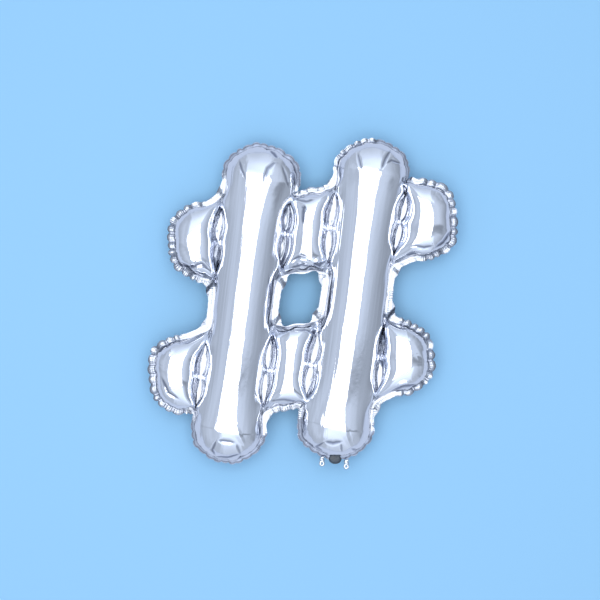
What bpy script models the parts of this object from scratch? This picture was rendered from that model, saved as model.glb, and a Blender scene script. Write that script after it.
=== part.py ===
"""Foil hash-sign balloon, lying on its back: two films sealed round their edge and round a window.

Two slanted bars and two rows of short chambers are blown up from a flat pattern. Each chamber has
a front film and a back film that meet on the seam plane. Necks with two lens-shaped welds each
join a bar to its chambers, and flat flanges with a puckered edge run round the outside and the window.
Metres, +Z up, +Y towards the sign's top, with the origin under the middle of the whole balloon.
"""

import math

import bmesh
import bpy
from mathutils import Matrix, Vector

# Driving sizes, in metres and radians.
SLANT = math.radians(10.9)  # the bars' lean from +Y towards +X
BAR_REACH = 0.0612  # from the middle to a bar's axis, along X
BAR_WAIST_RADIUS = 0.0290  # of the tube where the rows join it
BAR_MIDDLE_RADIUS = 0.0320  # of the tube between the rows, where its seams run free
BAR_END_RADIUS = 0.0335  # of the tube's wider ends
BAR_DEPTH = 0.0290  # from the seam plane to the film, all along the tube
ROW_HEIGHT = 0.0710  # from the middle to a row's centre line, along Y
ROW_HALF = 0.0355  # half the height of a row's chambers
NECK_WIDTH = 0.0154  # between a tube and the next chamber
NECK_DEPTH = 0.0060  # from the seam plane, in the middle of a neck
NECK_EDGE = 0.0045  # the same, beside the tube and beside the chamber
ARM_ROUND = 0.0330  # length of an arm's rounded tip
ARM_DEPTH = 0.0190  # from the seam plane to an arm's film
LINK_DEPTH = 0.0170  # the same for the chambers between the bars
FILM = 0.0012  # wall of a film chamber
SEAM = 0.0010  # thickness of the sealed flanges and welds
GAP = 0.0003  # left between neighbours
OUTER_FLANGE = 0.0050  # beyond a tube's widest part, on the sign's outer sides
WINDOW_FLANGE = 0.0061  # the same, on the sides that face the window
TIP_FLANGE = 0.0080  # beyond a tube's or an arm's tip
ROW_FLANGE = 0.0069  # above and below a row
INSIDE_CORNER = 0.0090  # radius of the concave corners
ARM_CORNER = 0.0300  # radius of the flange round an arm's tip
SCALLOP = 0.0018  # height of the puckers round the tips
SCALLOP_PITCH = 0.0076
WELD_WIDTH = 0.0085
WELD_PASSAGE = 0.0036  # between the two welds of a neck, for the air
WELD_MARGIN = 0.0023  # from a weld's tip to the edge of its row
TAB_RADIUS = 0.0042
TAB_HOLE = 0.0016  # radius of the hole for a hanging ribbon
TAB_DROP = 0.0025  # from the flange's tip to the middle of that hole
TAB_ROOT = 0.0050  # from the flange's tip to the tab's inner end
TAB_REACH = 0.0130  # from the valve to each tab
VALVE_OFFSET = -0.0027  # from the right bar's axis to the valve, across the bar
VALVE_WIDTH = 0.0130  # of its mouth
VALVE_HEIGHT = 0.0052  # of its mouth
VALVE_WALL = 0.0008
VALVE_LIP = 0.0015  # of the valve, beyond the flange's tip

# Each bar's side and middle along Y, and how far its tip's flange runs past the rows' outer edge.
BARS = {
    "left": {"side": -1, "shift": 0.0015, "overhang": 0.0640},
    "right": {"side": 1, "shift": -0.0045, "overhang": 0.0660},
}
# Each row's side of the middle, and how far its arms' flanges reach from the bars' axes.
ROWS = {
    "upper": {"side": 1, "left": 0.0900, "right": 0.0996},
    "lower": {"side": -1, "left": 0.0922, "right": 0.0932},
}
# Degrees round a bar's rounded tip, from its side to its point.
TIP_ANGLES = (0, 25, 48, 68, 84)
# An arm's cross sections, as shares of the way from its neck to its tip.
ARM_SHARES = (0.0, 0.10, 0.26, 0.46, 0.66, 0.82, 0.93, 1.0)
ARM_CROWN_SHARE = 0.45  # of that way, where an arm is thickest
ARM_SQUARENESS = 2.6  # 2 gives an arm an elliptical tip, and more a squarer one
BLUNTNESS = 0.98  # share of a tip's rounding where the chamber ends
# A link's cross sections: share of half its width from its middle, and share of its swelling.
LINK_SHARES = ((-1.0, 0.0), (-0.74, 0.62), (-0.34, 1.0), (0.34, 1.0), (0.74, 0.62), (1.0, 0.0))
NECK_CREST = 0.86  # share of a neck's half height that has its full depth
NECK_SHOULDER = 0.30  # share of a neck's width from each side to its full depth
ARCH_FACETS = 9  # an odd number leaves a level facet on top
WELD_FACETS = 6  # along each side of a weld
HOLE_FACETS = 12
CORNER_FACETS = 3
ALONG = Vector((math.sin(SLANT), math.cos(SLANT)))
ACROSS = Vector((math.cos(SLANT), -math.sin(SLANT)))
SEAM_PLANE = BAR_DEPTH + GAP / 2
CUT_REACH = BAR_DEPTH  # of a cutter, above and below the seam plane
SMOOTH_ANGLE = math.radians(40)

FOIL = {"colour": (0.80, 0.82, 0.87, 1), "roughness": 0.12, "metallic": 1.0}
SEALED_FOIL = {"colour": (0.86, 0.88, 0.92, 1), "roughness": 0.22, "metallic": 1.0}
VALVE_FILM = {"colour": (0.25, 0.27, 0.30, 1), "roughness": 0.35, "metallic": 0.0}


def clear_scene():
    for obj in list(bpy.data.objects):
        bpy.data.objects.remove(obj, do_unlink=True)


def make_material(name, look):
    material = bpy.data.materials.new(name)
    material.use_nodes = True
    shader = material.node_tree.nodes["Principled BSDF"]
    shader.inputs["Base Color"].default_value = look["colour"]
    shader.inputs["Roughness"].default_value = look["roughness"]
    shader.inputs["Metallic"].default_value = look["metallic"]
    return material


def add_object(name, bm, look, parent):
    """A mesh object with its faces pointing out. A cutter has no look."""
    mesh = bpy.data.meshes.new(name)
    bmesh.ops.recalc_face_normals(bm, faces=bm.faces)
    bm.to_mesh(mesh)
    bm.free()
    obj = bpy.data.objects.new(name, mesh)
    bpy.context.scene.collection.objects.link(obj)
    obj.parent = parent
    if look:
        mesh.materials.append(make_material(name, look))
    return obj


def prism(loop, low, high):
    """A closed prism over a flat loop, between two heights from the seam plane."""
    bm = bmesh.new()
    face = bm.faces.new([bm.verts.new((p.x, p.y, SEAM_PLANE + low)) for p in loop])
    made = bmesh.ops.extrude_face_region(bm, geom=[face])["geom"]
    moved = [v for v in made if isinstance(v, bmesh.types.BMVert)]
    bmesh.ops.translate(bm, verts=moved, vec=(0, 0, high - low))
    return bm


def cut(obj, cutters):
    for cutter in cutters:
        modifier = obj.modifiers.new(cutter.name, "BOOLEAN")
        modifier.operation = "DIFFERENCE"
        modifier.object = cutter


def add_cutter(name, loop, parent):
    cutter = add_object(name, prism(loop, -CUT_REACH, CUT_REACH), None, parent)
    cutter.hide_render = True
    cutter.display_type = "WIRE"
    return cutter


def bar_half_length(bar):
    """From a bar's middle to its flange's tip."""
    return (ROW_HEIGHT + ROW_HALF) / math.cos(SLANT) + BARS[bar]["overhang"]


def bar_point(bar, along, across):
    shift = BARS[bar]["shift"]
    middle = Vector((BARS[bar]["side"] * BAR_REACH + shift * math.tan(SLANT), shift))
    return middle + ALONG * along + ACROSS * across


def beside_bar(bar, across, y):
    """The point at height y on the line that runs beside a bar's axis, across to its right."""
    x = BARS[bar]["side"] * BAR_REACH + y * math.tan(SLANT) + across / math.cos(SLANT)
    return Vector((x, y))


def row_middle(row):
    """The height of a row's centre line."""
    return ROWS[row]["side"] * ROW_HEIGHT


def row_tip(row, bar):
    """The tip of an arm's flange, on its row's centre line."""
    reach = BARS[bar]["side"] * ROWS[row][bar]
    return beside_bar(bar, 0, row_middle(row)) + Vector((reach, 0))


def section(centre, lateral, half_width, depth):
    return {"centre": centre, "lateral": lateral, "half_width": half_width, "depth": depth}


def bar_sections(bar, inset):
    """Cross sections of a bar's tube from its lower to its upper tip, with its walls moved in by inset."""
    turn = bar_half_length(bar) - TIP_FLANGE - BAR_END_RADIUS
    rows_end = ROW_HEIGHT + ROW_HALF + abs(BARS[bar]["shift"]) + BAR_WAIST_RADIUS * math.sin(SLANT)
    waist_end = rows_end / math.cos(SLANT) + GAP
    rows_start = ROW_HEIGHT - ROW_HALF - abs(BARS[bar]["shift"]) - BAR_WAIST_RADIUS * math.sin(SLANT)
    waist_start = rows_start / math.cos(SLANT) - GAP
    middle, waist, end = (radius - inset for radius in (BAR_MIDDLE_RADIUS, BAR_WAIST_RADIUS, BAR_END_RADIUS))
    depth = BAR_DEPTH - inset
    # Distance along the bar, half width, depth.
    half = [
        (waist_start / 3, middle, depth),
        (waist_start, waist, depth),
        (waist_end, waist, depth),
        ((waist_end + turn) / 2, end, depth),
    ]
    for angle in map(math.radians, TIP_ANGLES):
        half.append((turn + end * math.sin(angle), end * math.cos(angle), depth * math.cos(angle)))
    stations = [(-along, width, deep) for along, width, deep in reversed(half)] + half
    return [section(bar_point(bar, along, 0), ACROSS, width, deep) for along, width, deep in stations]


def arm_sections(row, bar, inset):
    """Cross sections of an end chamber, from its neck to its tip."""
    side = BARS[bar]["side"]
    start = beside_bar(bar, side * (BAR_WAIST_RADIUS + NECK_WIDTH), row_middle(row))
    length = abs(row_tip(row, bar).x - start.x) - TIP_FLANGE
    made = []
    for share in ARM_SHARES:
        rounding = max(0, (share - 1) * length + ARM_ROUND) / ARM_ROUND * BLUNTNESS
        width = (ROW_HALF - inset) * (1 - rounding ** ARM_SQUARENESS) ** (1 / ARM_SQUARENESS)
        if share < ARM_CROWN_SHARE:
            rise = math.sin(math.pi / 2 * share / ARM_CROWN_SHARE)
            depth = NECK_EDGE + (ARM_DEPTH - NECK_EDGE) * rise - inset
        else:
            fall = (share - ARM_CROWN_SHARE) / (1 - ARM_CROWN_SHARE) * BLUNTNESS
            depth = (ARM_DEPTH - inset) * math.sqrt(1 - fall ** 2)
        reach = inset + share * (length - 2 * inset)
        lean = SLANT * (1 - share)
        lateral = Vector((math.sin(lean), math.cos(lean)))
        centre = start + Vector((side * reach, 0))
        made.append(section(centre, lateral, width / math.cos(lean), depth))
    return made


def link_sections(row, inset):
    """Cross sections of the chamber between the two bars, from left to right."""
    reach = BAR_WAIST_RADIUS + NECK_WIDTH
    left = beside_bar("left", reach, row_middle(row))
    right = beside_bar("right", -reach, row_middle(row))
    half_width = (right.x - left.x) / 2 - inset
    height = (ROW_HALF - inset) / math.cos(SLANT)
    made = []
    for share, swell in LINK_SHARES:
        centre = (left + right) / 2 + Vector((share * half_width, 0))
        depth = NECK_EDGE + (LINK_DEPTH - NECK_EDGE) * swell - inset
        made.append(section(centre, ALONG, height, depth))
    return made


def arch(part, facing):
    """Points over one section, from one foot on the seam plane to the other. facing is 1 or -1."""
    level = math.sin(math.pi * (ARCH_FACETS // 2) / ARCH_FACETS)
    points = []
    for step in range(ARCH_FACETS + 1):
        angle = math.pi * step / ARCH_FACETS
        flat = part["centre"] + part["lateral"] * part["half_width"] * math.cos(angle)
        height = SEAM_PLANE + facing * (GAP / 2 + part["depth"] * math.sin(angle) / level)
        points.append((flat.x, flat.y, height))
    points[0] = (*points[0][:2], SEAM_PLANE + facing * GAP / 2)
    points[-1] = (*points[-1][:2], SEAM_PLANE + facing * GAP / 2)
    return points


def add_film(name, sections_at, facing, parent):
    """One film of a chamber: a shell over its sections, open on the seam plane."""
    bm = bmesh.new()
    skins = []
    for inset in (0, FILM):
        rings = [[bm.verts.new(p) for p in arch(part, facing)] for part in sections_at(inset)]
        for ring, following in zip(rings, rings[1:]):
            for step in range(ARCH_FACETS):
                bm.faces.new((ring[step], ring[step + 1], following[step + 1], following[step]))
        bm.faces.new(rings[0])
        bm.faces.new(rings[-1])
        skins.append(rings)
    outer, inner = skins
    for near in range(len(outer) - 1):
        for foot in (0, -1):
            rim = (outer[near][foot], outer[near + 1][foot], inner[near + 1][foot], inner[near][foot])
            bm.faces.new(rim)
    for end in (0, -1):
        bm.faces.new((outer[end][0], outer[end][-1], inner[end][-1], inner[end][0]))
    obj = add_object(name, bm, FOIL, parent)
    obj.data.shade_smooth()
    obj.data.set_sharp_from_angle(angle=SMOOTH_ANGLE)


def plan_loop(sections):
    """The outline of a chamber on the seam plane."""
    right = [s["centre"] + s["lateral"] * s["half_width"] for s in sections]
    left = [s["centre"] - s["lateral"] * s["half_width"] for s in sections]
    return right + left[::-1]


def row_loop(row):
    """The outline of a whole row, from arm tip to arm tip, with the gap round it."""
    right = plan_loop(arm_sections(row, "right", -GAP))
    left = plan_loop(arm_sections(row, "left", -GAP))
    return right[::-1] + left


def rounded_loop(corners, scallop):
    """A closed outline, counterclockwise from (point, radius) corners, with puckers on convex ones."""
    loop = []
    for i, (corner, radius) in enumerate(corners):
        back = (corners[i - 1][0] - corner).normalized()
        ahead = (corners[(i + 1) % len(corners)][0] - corner).normalized()
        bend = math.pi - back.angle(ahead)
        convex = ahead.cross(back) > 0
        centre = corner + (back + ahead).normalized() * radius / math.cos(bend / 2)
        spoke = corner + back * radius * math.tan(bend / 2) - centre
        steps = 2 * max(1, round(radius * bend / SCALLOP_PITCH)) if convex and scallop else CORNER_FACETS
        sweep = bend if convex else -bend
        for step in range(steps + 1):
            swell = 1 + scallop * (step % 2) / radius if convex else 1
            loop.append(centre + Matrix.Rotation(sweep * step / steps, 2) @ spoke * swell)
    return loop


def arm_corners(row, bar):
    """Four corners of the outer flange round an arm: on the bar, at the tip twice, on the bar."""
    side = BARS[bar]["side"]
    corners = []
    for end in (-side, side):
        y = row_middle(row) + end * (ROW_HALF + ROW_FLANGE)
        on_bar = (beside_bar(bar, side * (BAR_END_RADIUS + OUTER_FLANGE), y), INSIDE_CORNER)
        at_tip = (Vector((row_tip(row, bar).x, y)), ARM_CORNER)
        corners += [on_bar, at_tip] if end == -side else [at_tip, on_bar]
    return corners


def end_corners(row, bar, other):
    """Corners from a bar's tip, through the bay between the bars, to the other bar's tip."""
    end, side = ROWS[row]["side"], BARS[bar]["side"]
    half_width = BAR_END_RADIUS + OUTER_FLANGE
    bay = row_middle(row) + end * (ROW_HALF + ROW_FLANGE)
    tips = []
    for each in (bar, other):
        for across in (side * half_width, -side * half_width):
            tips.append((bar_point(each, end * bar_half_length(each), across), half_width * BLUNTNESS))
    inner = [beside_bar(bar, -side * half_width, bay), beside_bar(other, side * half_width, bay)]
    return tips[:2] + [(point, INSIDE_CORNER) for point in inner] + tips[2:]


def outer_corners():
    """Corners of the outer flange, counterclockwise from under the lower right arm."""
    corners = arm_corners("lower", "right") + arm_corners("upper", "right")
    corners += end_corners("upper", "right", "left")
    corners += arm_corners("upper", "left") + arm_corners("lower", "left")
    corners += end_corners("lower", "left", "right")
    return corners


def window_loop():
    """The window between the bars and the rows."""
    reach = BAR_END_RADIUS + WINDOW_FLANGE
    edge = ROW_HEIGHT - ROW_HALF - ROW_FLANGE
    corners = [
        beside_bar("left", reach, -edge),
        beside_bar("right", -reach, -edge),
        beside_bar("right", -reach, edge),
        beside_bar("left", reach, edge),
    ]
    return rounded_loop([(corner, INSIDE_CORNER) for corner in corners], 0)


def cell_loop():
    """The four-sided cell between the bars' axes and the rows' centre lines."""
    turns = (("left", "lower"), ("right", "lower"), ("right", "upper"), ("left", "upper"))
    return [beside_bar(bar, 0, row_middle(row)) for bar, row in turns]


def lens_loop(centre, length, width):
    """Two equal arcs that meet in points, along the bars' direction."""
    radius = (length ** 2 + width ** 2) / (4 * width)
    half_angle = math.asin(length / 2 / radius)
    loop = []
    for side in (1, -1):
        for step in range(WELD_FACETS):
            angle = half_angle * (1 - 2 * step / WELD_FACETS)
            bulge = radius * math.cos(angle) - (radius - width / 2)
            loop.append(centre + side * (ALONG * radius * math.sin(angle) + ACROSS * bulge))
    return loop


def add_neck(name, row, bar, side, parent):
    """The shallow film between a tube and the next chamber, with an opening for each weld."""
    half_height = ROW_HALF / math.cos(SLANT)
    weld_length = half_height - WELD_MARGIN - WELD_PASSAGE / 2
    middle = beside_bar(bar, side * (BAR_WAIST_RADIUS + NECK_WIDTH / 2), row_middle(row))
    bm = bmesh.new()
    rings = []
    shoulder = NECK_WIDTH * NECK_SHOULDER
    # Distance from the tube, depth.
    stations = (
        (GAP, NECK_EDGE),
        (shoulder, NECK_DEPTH),
        (NECK_WIDTH - shoulder, NECK_DEPTH),
        (NECK_WIDTH - GAP, NECK_EDGE),
    )
    for reach, depth in stations:
        centre = beside_bar(bar, side * (BAR_WAIST_RADIUS + reach), row_middle(row))
        quarter = ((half_height, SEAM / 2), (half_height * NECK_CREST, depth))
        profile = [(up, deep) for up, deep in quarter] + [(-up, deep) for up, deep in reversed(quarter)]
        profile += [(up, -deep) for up, deep in reversed(profile)]
        ring = []
        for up, deep in profile:
            point = centre + ALONG * up
            ring.append(bm.verts.new((point.x, point.y, SEAM_PLANE + deep)))
        rings.append(ring)
    bm.faces.new(rings[0])
    bm.faces.new(rings[-1])
    for ring, following in zip(rings, rings[1:]):
        for step in range(len(ring)):
            bm.faces.new((ring[step - 1], ring[step], following[step], following[step - 1]))
    bmesh.ops.triangulate(bm, faces=bm.faces)
    neck = add_object(name, bm, FOIL, parent)
    for label, end in (("top", 1), ("bottom", -1)):
        centre = middle + ALONG * end * (WELD_PASSAGE + weld_length) / 2
        hole = lens_loop(centre, weld_length + 4 * GAP, WELD_WIDTH + 2 * GAP)
        cut(neck, [add_cutter(f"{name}_{label}_cutter", hole, parent)])
        lens = lens_loop(centre, weld_length, WELD_WIDTH)
        add_object(f"{name}_{label}_weld", prism(lens, -SEAM / 2, SEAM / 2), SEALED_FOIL, parent)


def tab_loop(side, clearance):
    """A hanging tab's outline: straight sides from its root in the flange, and a round end."""
    tip = bar_half_length("right")
    across = VALVE_OFFSET + side * TAB_REACH
    radius = TAB_RADIUS + clearance
    middle = bar_point("right", -tip - TAB_DROP, across)
    root = bar_point("right", -tip + TAB_ROOT + clearance, across)
    loop = [root + ACROSS * radius, root - ACROSS * radius]
    for step in range(HOLE_FACETS // 2 + 1):
        angle = math.pi * step / (HOLE_FACETS // 2)
        loop.append(middle - ACROSS * radius * math.cos(angle) - ALONG * radius * math.sin(angle))
    return loop


def valve_loop(half_width, start, finish):
    """A strip along the right bar's axis line at the valve, between two distances from the flange's tip."""
    tip = bar_half_length("right")
    corners = ((-half_width, start), (half_width, start), (half_width, finish), (-half_width, finish))
    return [bar_point("right", -tip + inward, VALVE_OFFSET + across) for across, inward in corners]


def add_valve(parent):
    """The flattened filling tube between the two films, with an open mouth."""
    outer = VALVE_WIDTH / 2 + VALVE_WALL
    rise = VALVE_HEIGHT / 2
    root = TIP_FLANGE - GAP
    sleeve = prism(valve_loop(outer, -VALVE_LIP, root), -rise - VALVE_WALL, rise + VALVE_WALL)
    valve = add_object("fill_valve", sleeve, VALVE_FILM, parent)
    mouth = prism(valve_loop(VALVE_WIDTH / 2, -2 * VALVE_LIP, root + VALVE_LIP), -rise, rise)
    cutter = add_object("valve_mouth_cutter", mouth, None, parent)
    cutter.hide_render = True
    cutter.display_type = "WIRE"
    cut(valve, [cutter])
    notch = valve_loop(outer + GAP, -2 * VALVE_LIP, TIP_FLANGE)
    return add_cutter("valve_notch_cutter", notch, parent)


def add_tabs(parent):
    """The two hanging tabs. Returns the cutters that seat them in the flange."""
    tip = bar_half_length("right")
    notches = []
    for label, side in (("left", -1), ("right", 1)):
        name = f"{label}_hanging_tab"
        tab = add_object(name, prism(tab_loop(side, 0), -SEAM / 2, SEAM / 2), SEALED_FOIL, parent)
        middle = bar_point("right", -tip - TAB_DROP, VALVE_OFFSET + side * TAB_REACH)
        turns = [2 * math.pi * step / HOLE_FACETS for step in range(HOLE_FACETS)]
        ring = [middle + Vector((math.cos(turn), math.sin(turn))) * TAB_HOLE for turn in turns]
        cut(tab, [add_cutter(f"{name}_hole_cutter", ring, parent)])
        notches.append(add_cutter(f"{name}_notch_cutter", tab_loop(side, GAP), parent))
    return notches


def add_flanges(notches, parent):
    """The sealed edges round the outside and round the window."""
    chambers = [add_cutter(f"{row}_row_cutter", row_loop(row), parent) for row in ROWS]
    for bar in BARS:
        loop = plan_loop(bar_sections(bar, -GAP))
        chambers.append(add_cutter(f"{bar}_bar_cutter", loop, parent))
    cell = add_cutter("cell_cutter", cell_loop(), parent)
    window = add_cutter("window_cutter", window_loop(), parent)
    edge = prism(rounded_loop(outer_corners(), SCALLOP), -SEAM / 2, SEAM / 2)
    outer = add_object("outer_seam_flange", edge, SEALED_FOIL, parent)
    cut(outer, [cell] + chambers + notches)
    inner = add_object("window_seam_flange", prism(cell_loop(), -SEAM / 2, SEAM / 2), SEALED_FOIL, parent)
    cut(inner, [window] + chambers)


def centre_on_origin(parent):
    """Moves the balloon so that its box stands on the origin."""
    bpy.context.view_layer.update()
    depsgraph = bpy.context.evaluated_depsgraph_get()
    points = []
    for obj in bpy.data.objects:
        if obj.type == "MESH" and not obj.hide_render:
            evaluated = obj.evaluated_get(depsgraph)
            points += [evaluated.matrix_world @ v.co for v in evaluated.data.vertices]
    low = Vector([min(p[i] for p in points) for i in range(3)])
    high = Vector([max(p[i] for p in points) for i in range(3)])
    parent.location = (-(low.x + high.x) / 2, -(low.y + high.y) / 2, -low.z)


def main():
    clear_scene()
    balloon = bpy.data.objects.new("balloon", None)
    bpy.context.scene.collection.objects.link(balloon)
    films = {f"{bar}_bar": lambda inset, bar=bar: bar_sections(bar, inset) for bar in BARS}
    for row in ROWS:
        films[f"{row}_link"] = lambda inset, row=row: link_sections(row, inset)
        for bar in BARS:
            films[f"{row}_{bar}_arm"] = lambda inset, row=row, bar=bar: arm_sections(row, bar, inset)
            for label, side in (("outer", BARS[bar]["side"]), ("inner", -BARS[bar]["side"])):
                add_neck(f"{row}_{bar}_{label}_neck", row, bar, side, balloon)
    for name, sections_at in films.items():
        add_film(f"{name}_front", sections_at, 1, balloon)
        add_film(f"{name}_back", sections_at, -1, balloon)
    notches = add_tabs(balloon) + [add_valve(balloon)]
    add_flanges(notches, balloon)
    centre_on_origin(balloon)


main()
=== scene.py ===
"""The looks of the foil symbol balloon: blown film, puckered seams, welds, valve, tabs and studio.

Two flat sheets of silver film are cut to one pattern, sealed along the seams and the lens-shaped
welds, and blown up by a cloth simulation. The pattern below is the flat, unblown balloon in metres.
"""
import math
import random

import bpy
import numpy as np
from mathutils import Matrix, Vector, geometry
from mathutils.kdtree import KDTree


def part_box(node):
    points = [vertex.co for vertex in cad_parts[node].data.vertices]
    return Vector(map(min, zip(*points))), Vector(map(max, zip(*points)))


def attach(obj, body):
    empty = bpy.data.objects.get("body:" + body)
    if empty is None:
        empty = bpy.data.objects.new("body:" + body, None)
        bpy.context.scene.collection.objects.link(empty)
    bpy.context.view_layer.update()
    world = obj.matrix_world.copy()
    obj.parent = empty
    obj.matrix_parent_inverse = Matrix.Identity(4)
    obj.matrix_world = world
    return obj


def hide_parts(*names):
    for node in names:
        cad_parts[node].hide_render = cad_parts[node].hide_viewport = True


# Flat pattern
SLANT = math.radians(10.9)
ALONG = Vector((math.sin(SLANT), math.cos(SLANT)))
ACROSS = Vector((math.cos(SLANT), -math.sin(SLANT)))
BAR_REACH = 0.0890              # from the middle to a bar's axis, along X
BARS = {                        # side of the middle, shift up, half length to the seam
    "left": (-1, 0.0034, 0.1850),
    "right": (1, -0.0060, 0.1862),
}
BAR_HALF_WIDTH_AT_ENDS = 0.0522
BAR_HALF_WIDTH_AT_BAYS = 0.0532
BAR_HALF_WIDTH_AT_WINDOW = {"left": 0.0492, "right": 0.0492}
ROWS = {"upper": 1, "lower": -1}
LINKS = {                       # a link's seams next to the window and away from it
    "upper": (0.0305, 0.1210),
    "lower": (-0.0275, -0.1215),
}
ARMS = {                        # seams next to the bay and away from it, and the tip's reach along X
    ("upper", "left"): (0.0345, 0.1275, 0.2175),
    ("lower", "left"): (-0.0215, -0.1165, 0.2185),
    ("upper", "right"): (0.0265, 0.1235, 0.2235),
    ("lower", "right"): (-0.0345, -0.1255, 0.2210),
}
LINK_BOW = 0.0090               # of a link's edge into the window
LINK_OUTER_BOW = 0.0045         # and of its other edge
LINK_BOW_RADIUS = 0.030
ARM_CORNER = 0.040
BAR_END_ROUNDING = 0.97         # of the half width, so that an end is nearly a half circle
SEAM_CORNER = 0.006
CUT_CORNER = 0.016              # the flat webs in the concave corners
WEB_ROOM = 0.9                  # how much of the edge beside a web it may take
TIP_ROUNDING = 0.48             # of an arm's width, at the most
WINDOW_CUT_CORNER = 0.005
WINDOW_WEBS = (0.0095, 0.0135)  # the straight webs in the window's corners, along a link and along a bar
FLANGE_AT_ENDS = 0.0048
FLANGE_AT_BAYS = 0.0075
FLANGE_AT_WINDOW = 0.0080
FLANGE_AT_WINDOW_ENDS = 0.0044
FLANGE_AT_ROWS = 0.0069
FLANGE_AT_TIPS = 0.0080
WELD_FROM_AXIS = {"outer": 0.0575, "inner": 0.0540}
WELD_ROW_MIDDLE = 0.0745
WELD_OFFSET = 0.0195
WELD_LENGTH = 0.0375
WELD_WIDTH = 0.0088
WELD_EGG = 0.30                 # how much blunter a weld is at the end next to its twin
WEAVE = 0.0034                  # the size of the simulation's triangles
LEAST_STEP = 0.35               # of a weave, between two points of a loop
LOOP_MARGIN = 0.62              # and between a loop and the points inside it
JITTER = 0.12                   # and how far a point inside is off its grid

# Blowing up
SIM_SCALE = 10.0                # Blender's cloth is steadier at this scale
SHRINK_ACROSS = 0.84            # a blown tube is this much narrower than its flat film
SHRINK_ALONG = 0.94
TUBE_HALF_FLAT = 0.045
START_RISE = 0.9
START_GAP = 0.0012              # half the least gap between the films at the start
FLAT_GAP = 0.0003               # and in the flat pattern
SIM_FRAMES = 30
FLAT_BY_FRAME = 6               # from here on the film rests at the size of the flat pattern
CLOTH_QUALITY = 6
PRESSURE = 20.0
TENSION = 200.0
FILM_COMPRESSION = 0.2
SEAM_COMPRESSION = 2.0
BENDING = 0.2
FILM_MASS = 0.1
AIR_DAMPING = 4.0
STRETCH_DAMPING = 5.0
BENDING_DAMPING = 0.5

# How far the real balloon lies from the simulated one: a place seen from above, and the shift there
SETTLING = {
    "left bar's top": ((-0.034, 0.146), (-0.0088, 0.0000)),
    "left bar in the upper row": ((-0.044, 0.093), (-0.0064, 0.0004)),
    "left bar beside the window": ((-0.060, 0.004), (-0.0020, 0.0000)),
    "left bar in the lower row": ((-0.073, -0.048), (0.0000, 0.0000)),
    "left bar's bottom": ((-0.088, -0.137), (0.0017, 0.0020)),
    "right bar's top": ((0.088, 0.153), (-0.0013, -0.0030)),
    "right bar in the upper row": ((0.078, 0.085), (-0.0032, 0.0002)),
    "right bar beside the window": ((0.059, -0.004), (0.0010, 0.0000)),
    "right bar in the lower row": ((0.049, -0.057), (0.0005, 0.0000)),
    "right bar's bottom": ((0.030, -0.140), (0.0047, 0.0008)),
    "upper left arm": ((-0.136, 0.073), (-0.0037, 0.0003)),
    "lower left arm": ((-0.148, -0.069), (0.0002, 0.0031)),
    "upper right arm": ((0.143, 0.070), (0.0004, -0.0027)),
    "lower right arm": ((0.128, -0.073), (0.0037, -0.0003)),
    "upper link": ((0.017, 0.115), (-0.0040, 0.0000)),
    "lower link": ((-0.029, -0.114), (0.0010, 0.0020)),
}
SETTLING_REACH = 0.060

# Smoothing: how far a point goes to its neighbours' mean and back, and in how many rounds
SEAM_ROUNDS = 8
WELD_SEAM_ROUNDS = 2
TURN_ROUNDS = 6
TIP_ROUNDS = 10
WELD_SMOOTHING = ((0.6,), 40)
FILM_SMOOTHING = ((0.5, -0.52), 24)
FINE_SMOOTHING = ((0.5, -0.5), 8)
FLANGE_SMOOTHING = ((0.5, -0.52), 16)
CORE_SMOOTHING = ((0.9,), 260)
CORE_HALF_WIDTH = 0.040         # the part of a tube that is smoothed along its length
CORE_FADE = 0.014
CORE_FROM_END = 0.045
CORE_END_FADE = 0.030
LENGTHWISE_POWER = 6            # how strictly it is smoothed along its length only
CROSSWISE_SHARE = 0.002

# Pleats of the flanges
PLEAT_LENGTHS = (0.0085, 0.0145)
PLEAT_SIZES = (0.65, 1.2)
PLEAT_SIGNS = (1, 1, 1, -1)     # three of four pleats rise
PLEAT_STRETCH = 0.42353         # how much a pleat widens the flange
PLEAT_LIFT = 0.0019
PLEAT_FADE = 0.0085             # where a pleat's lift ends, from the seam
HUMP_SHARPNESS = 0.6            # powers of a sine: along the seam and out from it
LIFT_SHARPNESS = 0.8
HUMP_MEAN = 0.55
LEAST_PLEAT = 0.10              # a pleat's strength where the seam doesn't bend outwards
END_CALM = 0.8                  # how much of the pleats' lift the bars' ends lose
TIP_BENDS = (0.12, 0.47)        # radians of bend at which the pleats start, and are full
STRAIGHT_PLEATS = 0.05          # the pleats' strength where a seam is straight
LINK_PLEATS = 0.6               # and on the outer edges of the links
BEND_REACH = 0.018              # the length of seam over which its bend is measured
END_DROOP = 0.55                # slope of the flange round the bars' ends
BAR_END = 0.052                 # a bar's end starts this far before its tip
BAR_END_FADE = 0.022
BAR_END_HALF_WIDTH = 0.066
LOBED_ACROSS = -0.004           # left of this the right bar's upper end has lobes, no smooth flange
LOBED_FADE = 0.010
LINK_END = (0.058, 0.105)       # from the bars' axes and from the middle line to a link's outer edge
LINK_END_FADE = 0.008

# Folds and puckers of the film
FILM_PUCKER_DEPTH = 0.0016
FILM_PUCKER_REACH = 0.0075
FILM_PUCKER_START = 0.0016      # full from here on, from the seam
CREASE_TAPER = 0.4              # the share of a crease's length in which an end narrows
CREASE_END = 0.4                # and its width there
CREASE_SHADE = (2.2, 0.7)       # the painted shade line is narrower than the fold
WELD_RIM = 0.0005               # height of the raised rim round a weld
WELD_RIM_AT = 0.0048            # the rim's distance from the weld's edge
WELD_RIM_REACH = 0.0013
WELD_VALLEY = 0.7               # the valley before the rim, as a share of its height
WELD_VALLEY_AT = 0.0024
WELD_VALLEY_REACH = 0.0011
WELD_SURROUNDINGS = 0.0085      # how far round a weld the triangles are finer and the painted shade ticks show
LINES = (                       # where the lengthwise lines start from a bar's axis, and their strength
    (0.007, 1.0),               # on its left
    (0.012, 0.5),               # on its right
)
LINES_FADE = 0.008
LINES_END = 0.056
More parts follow.
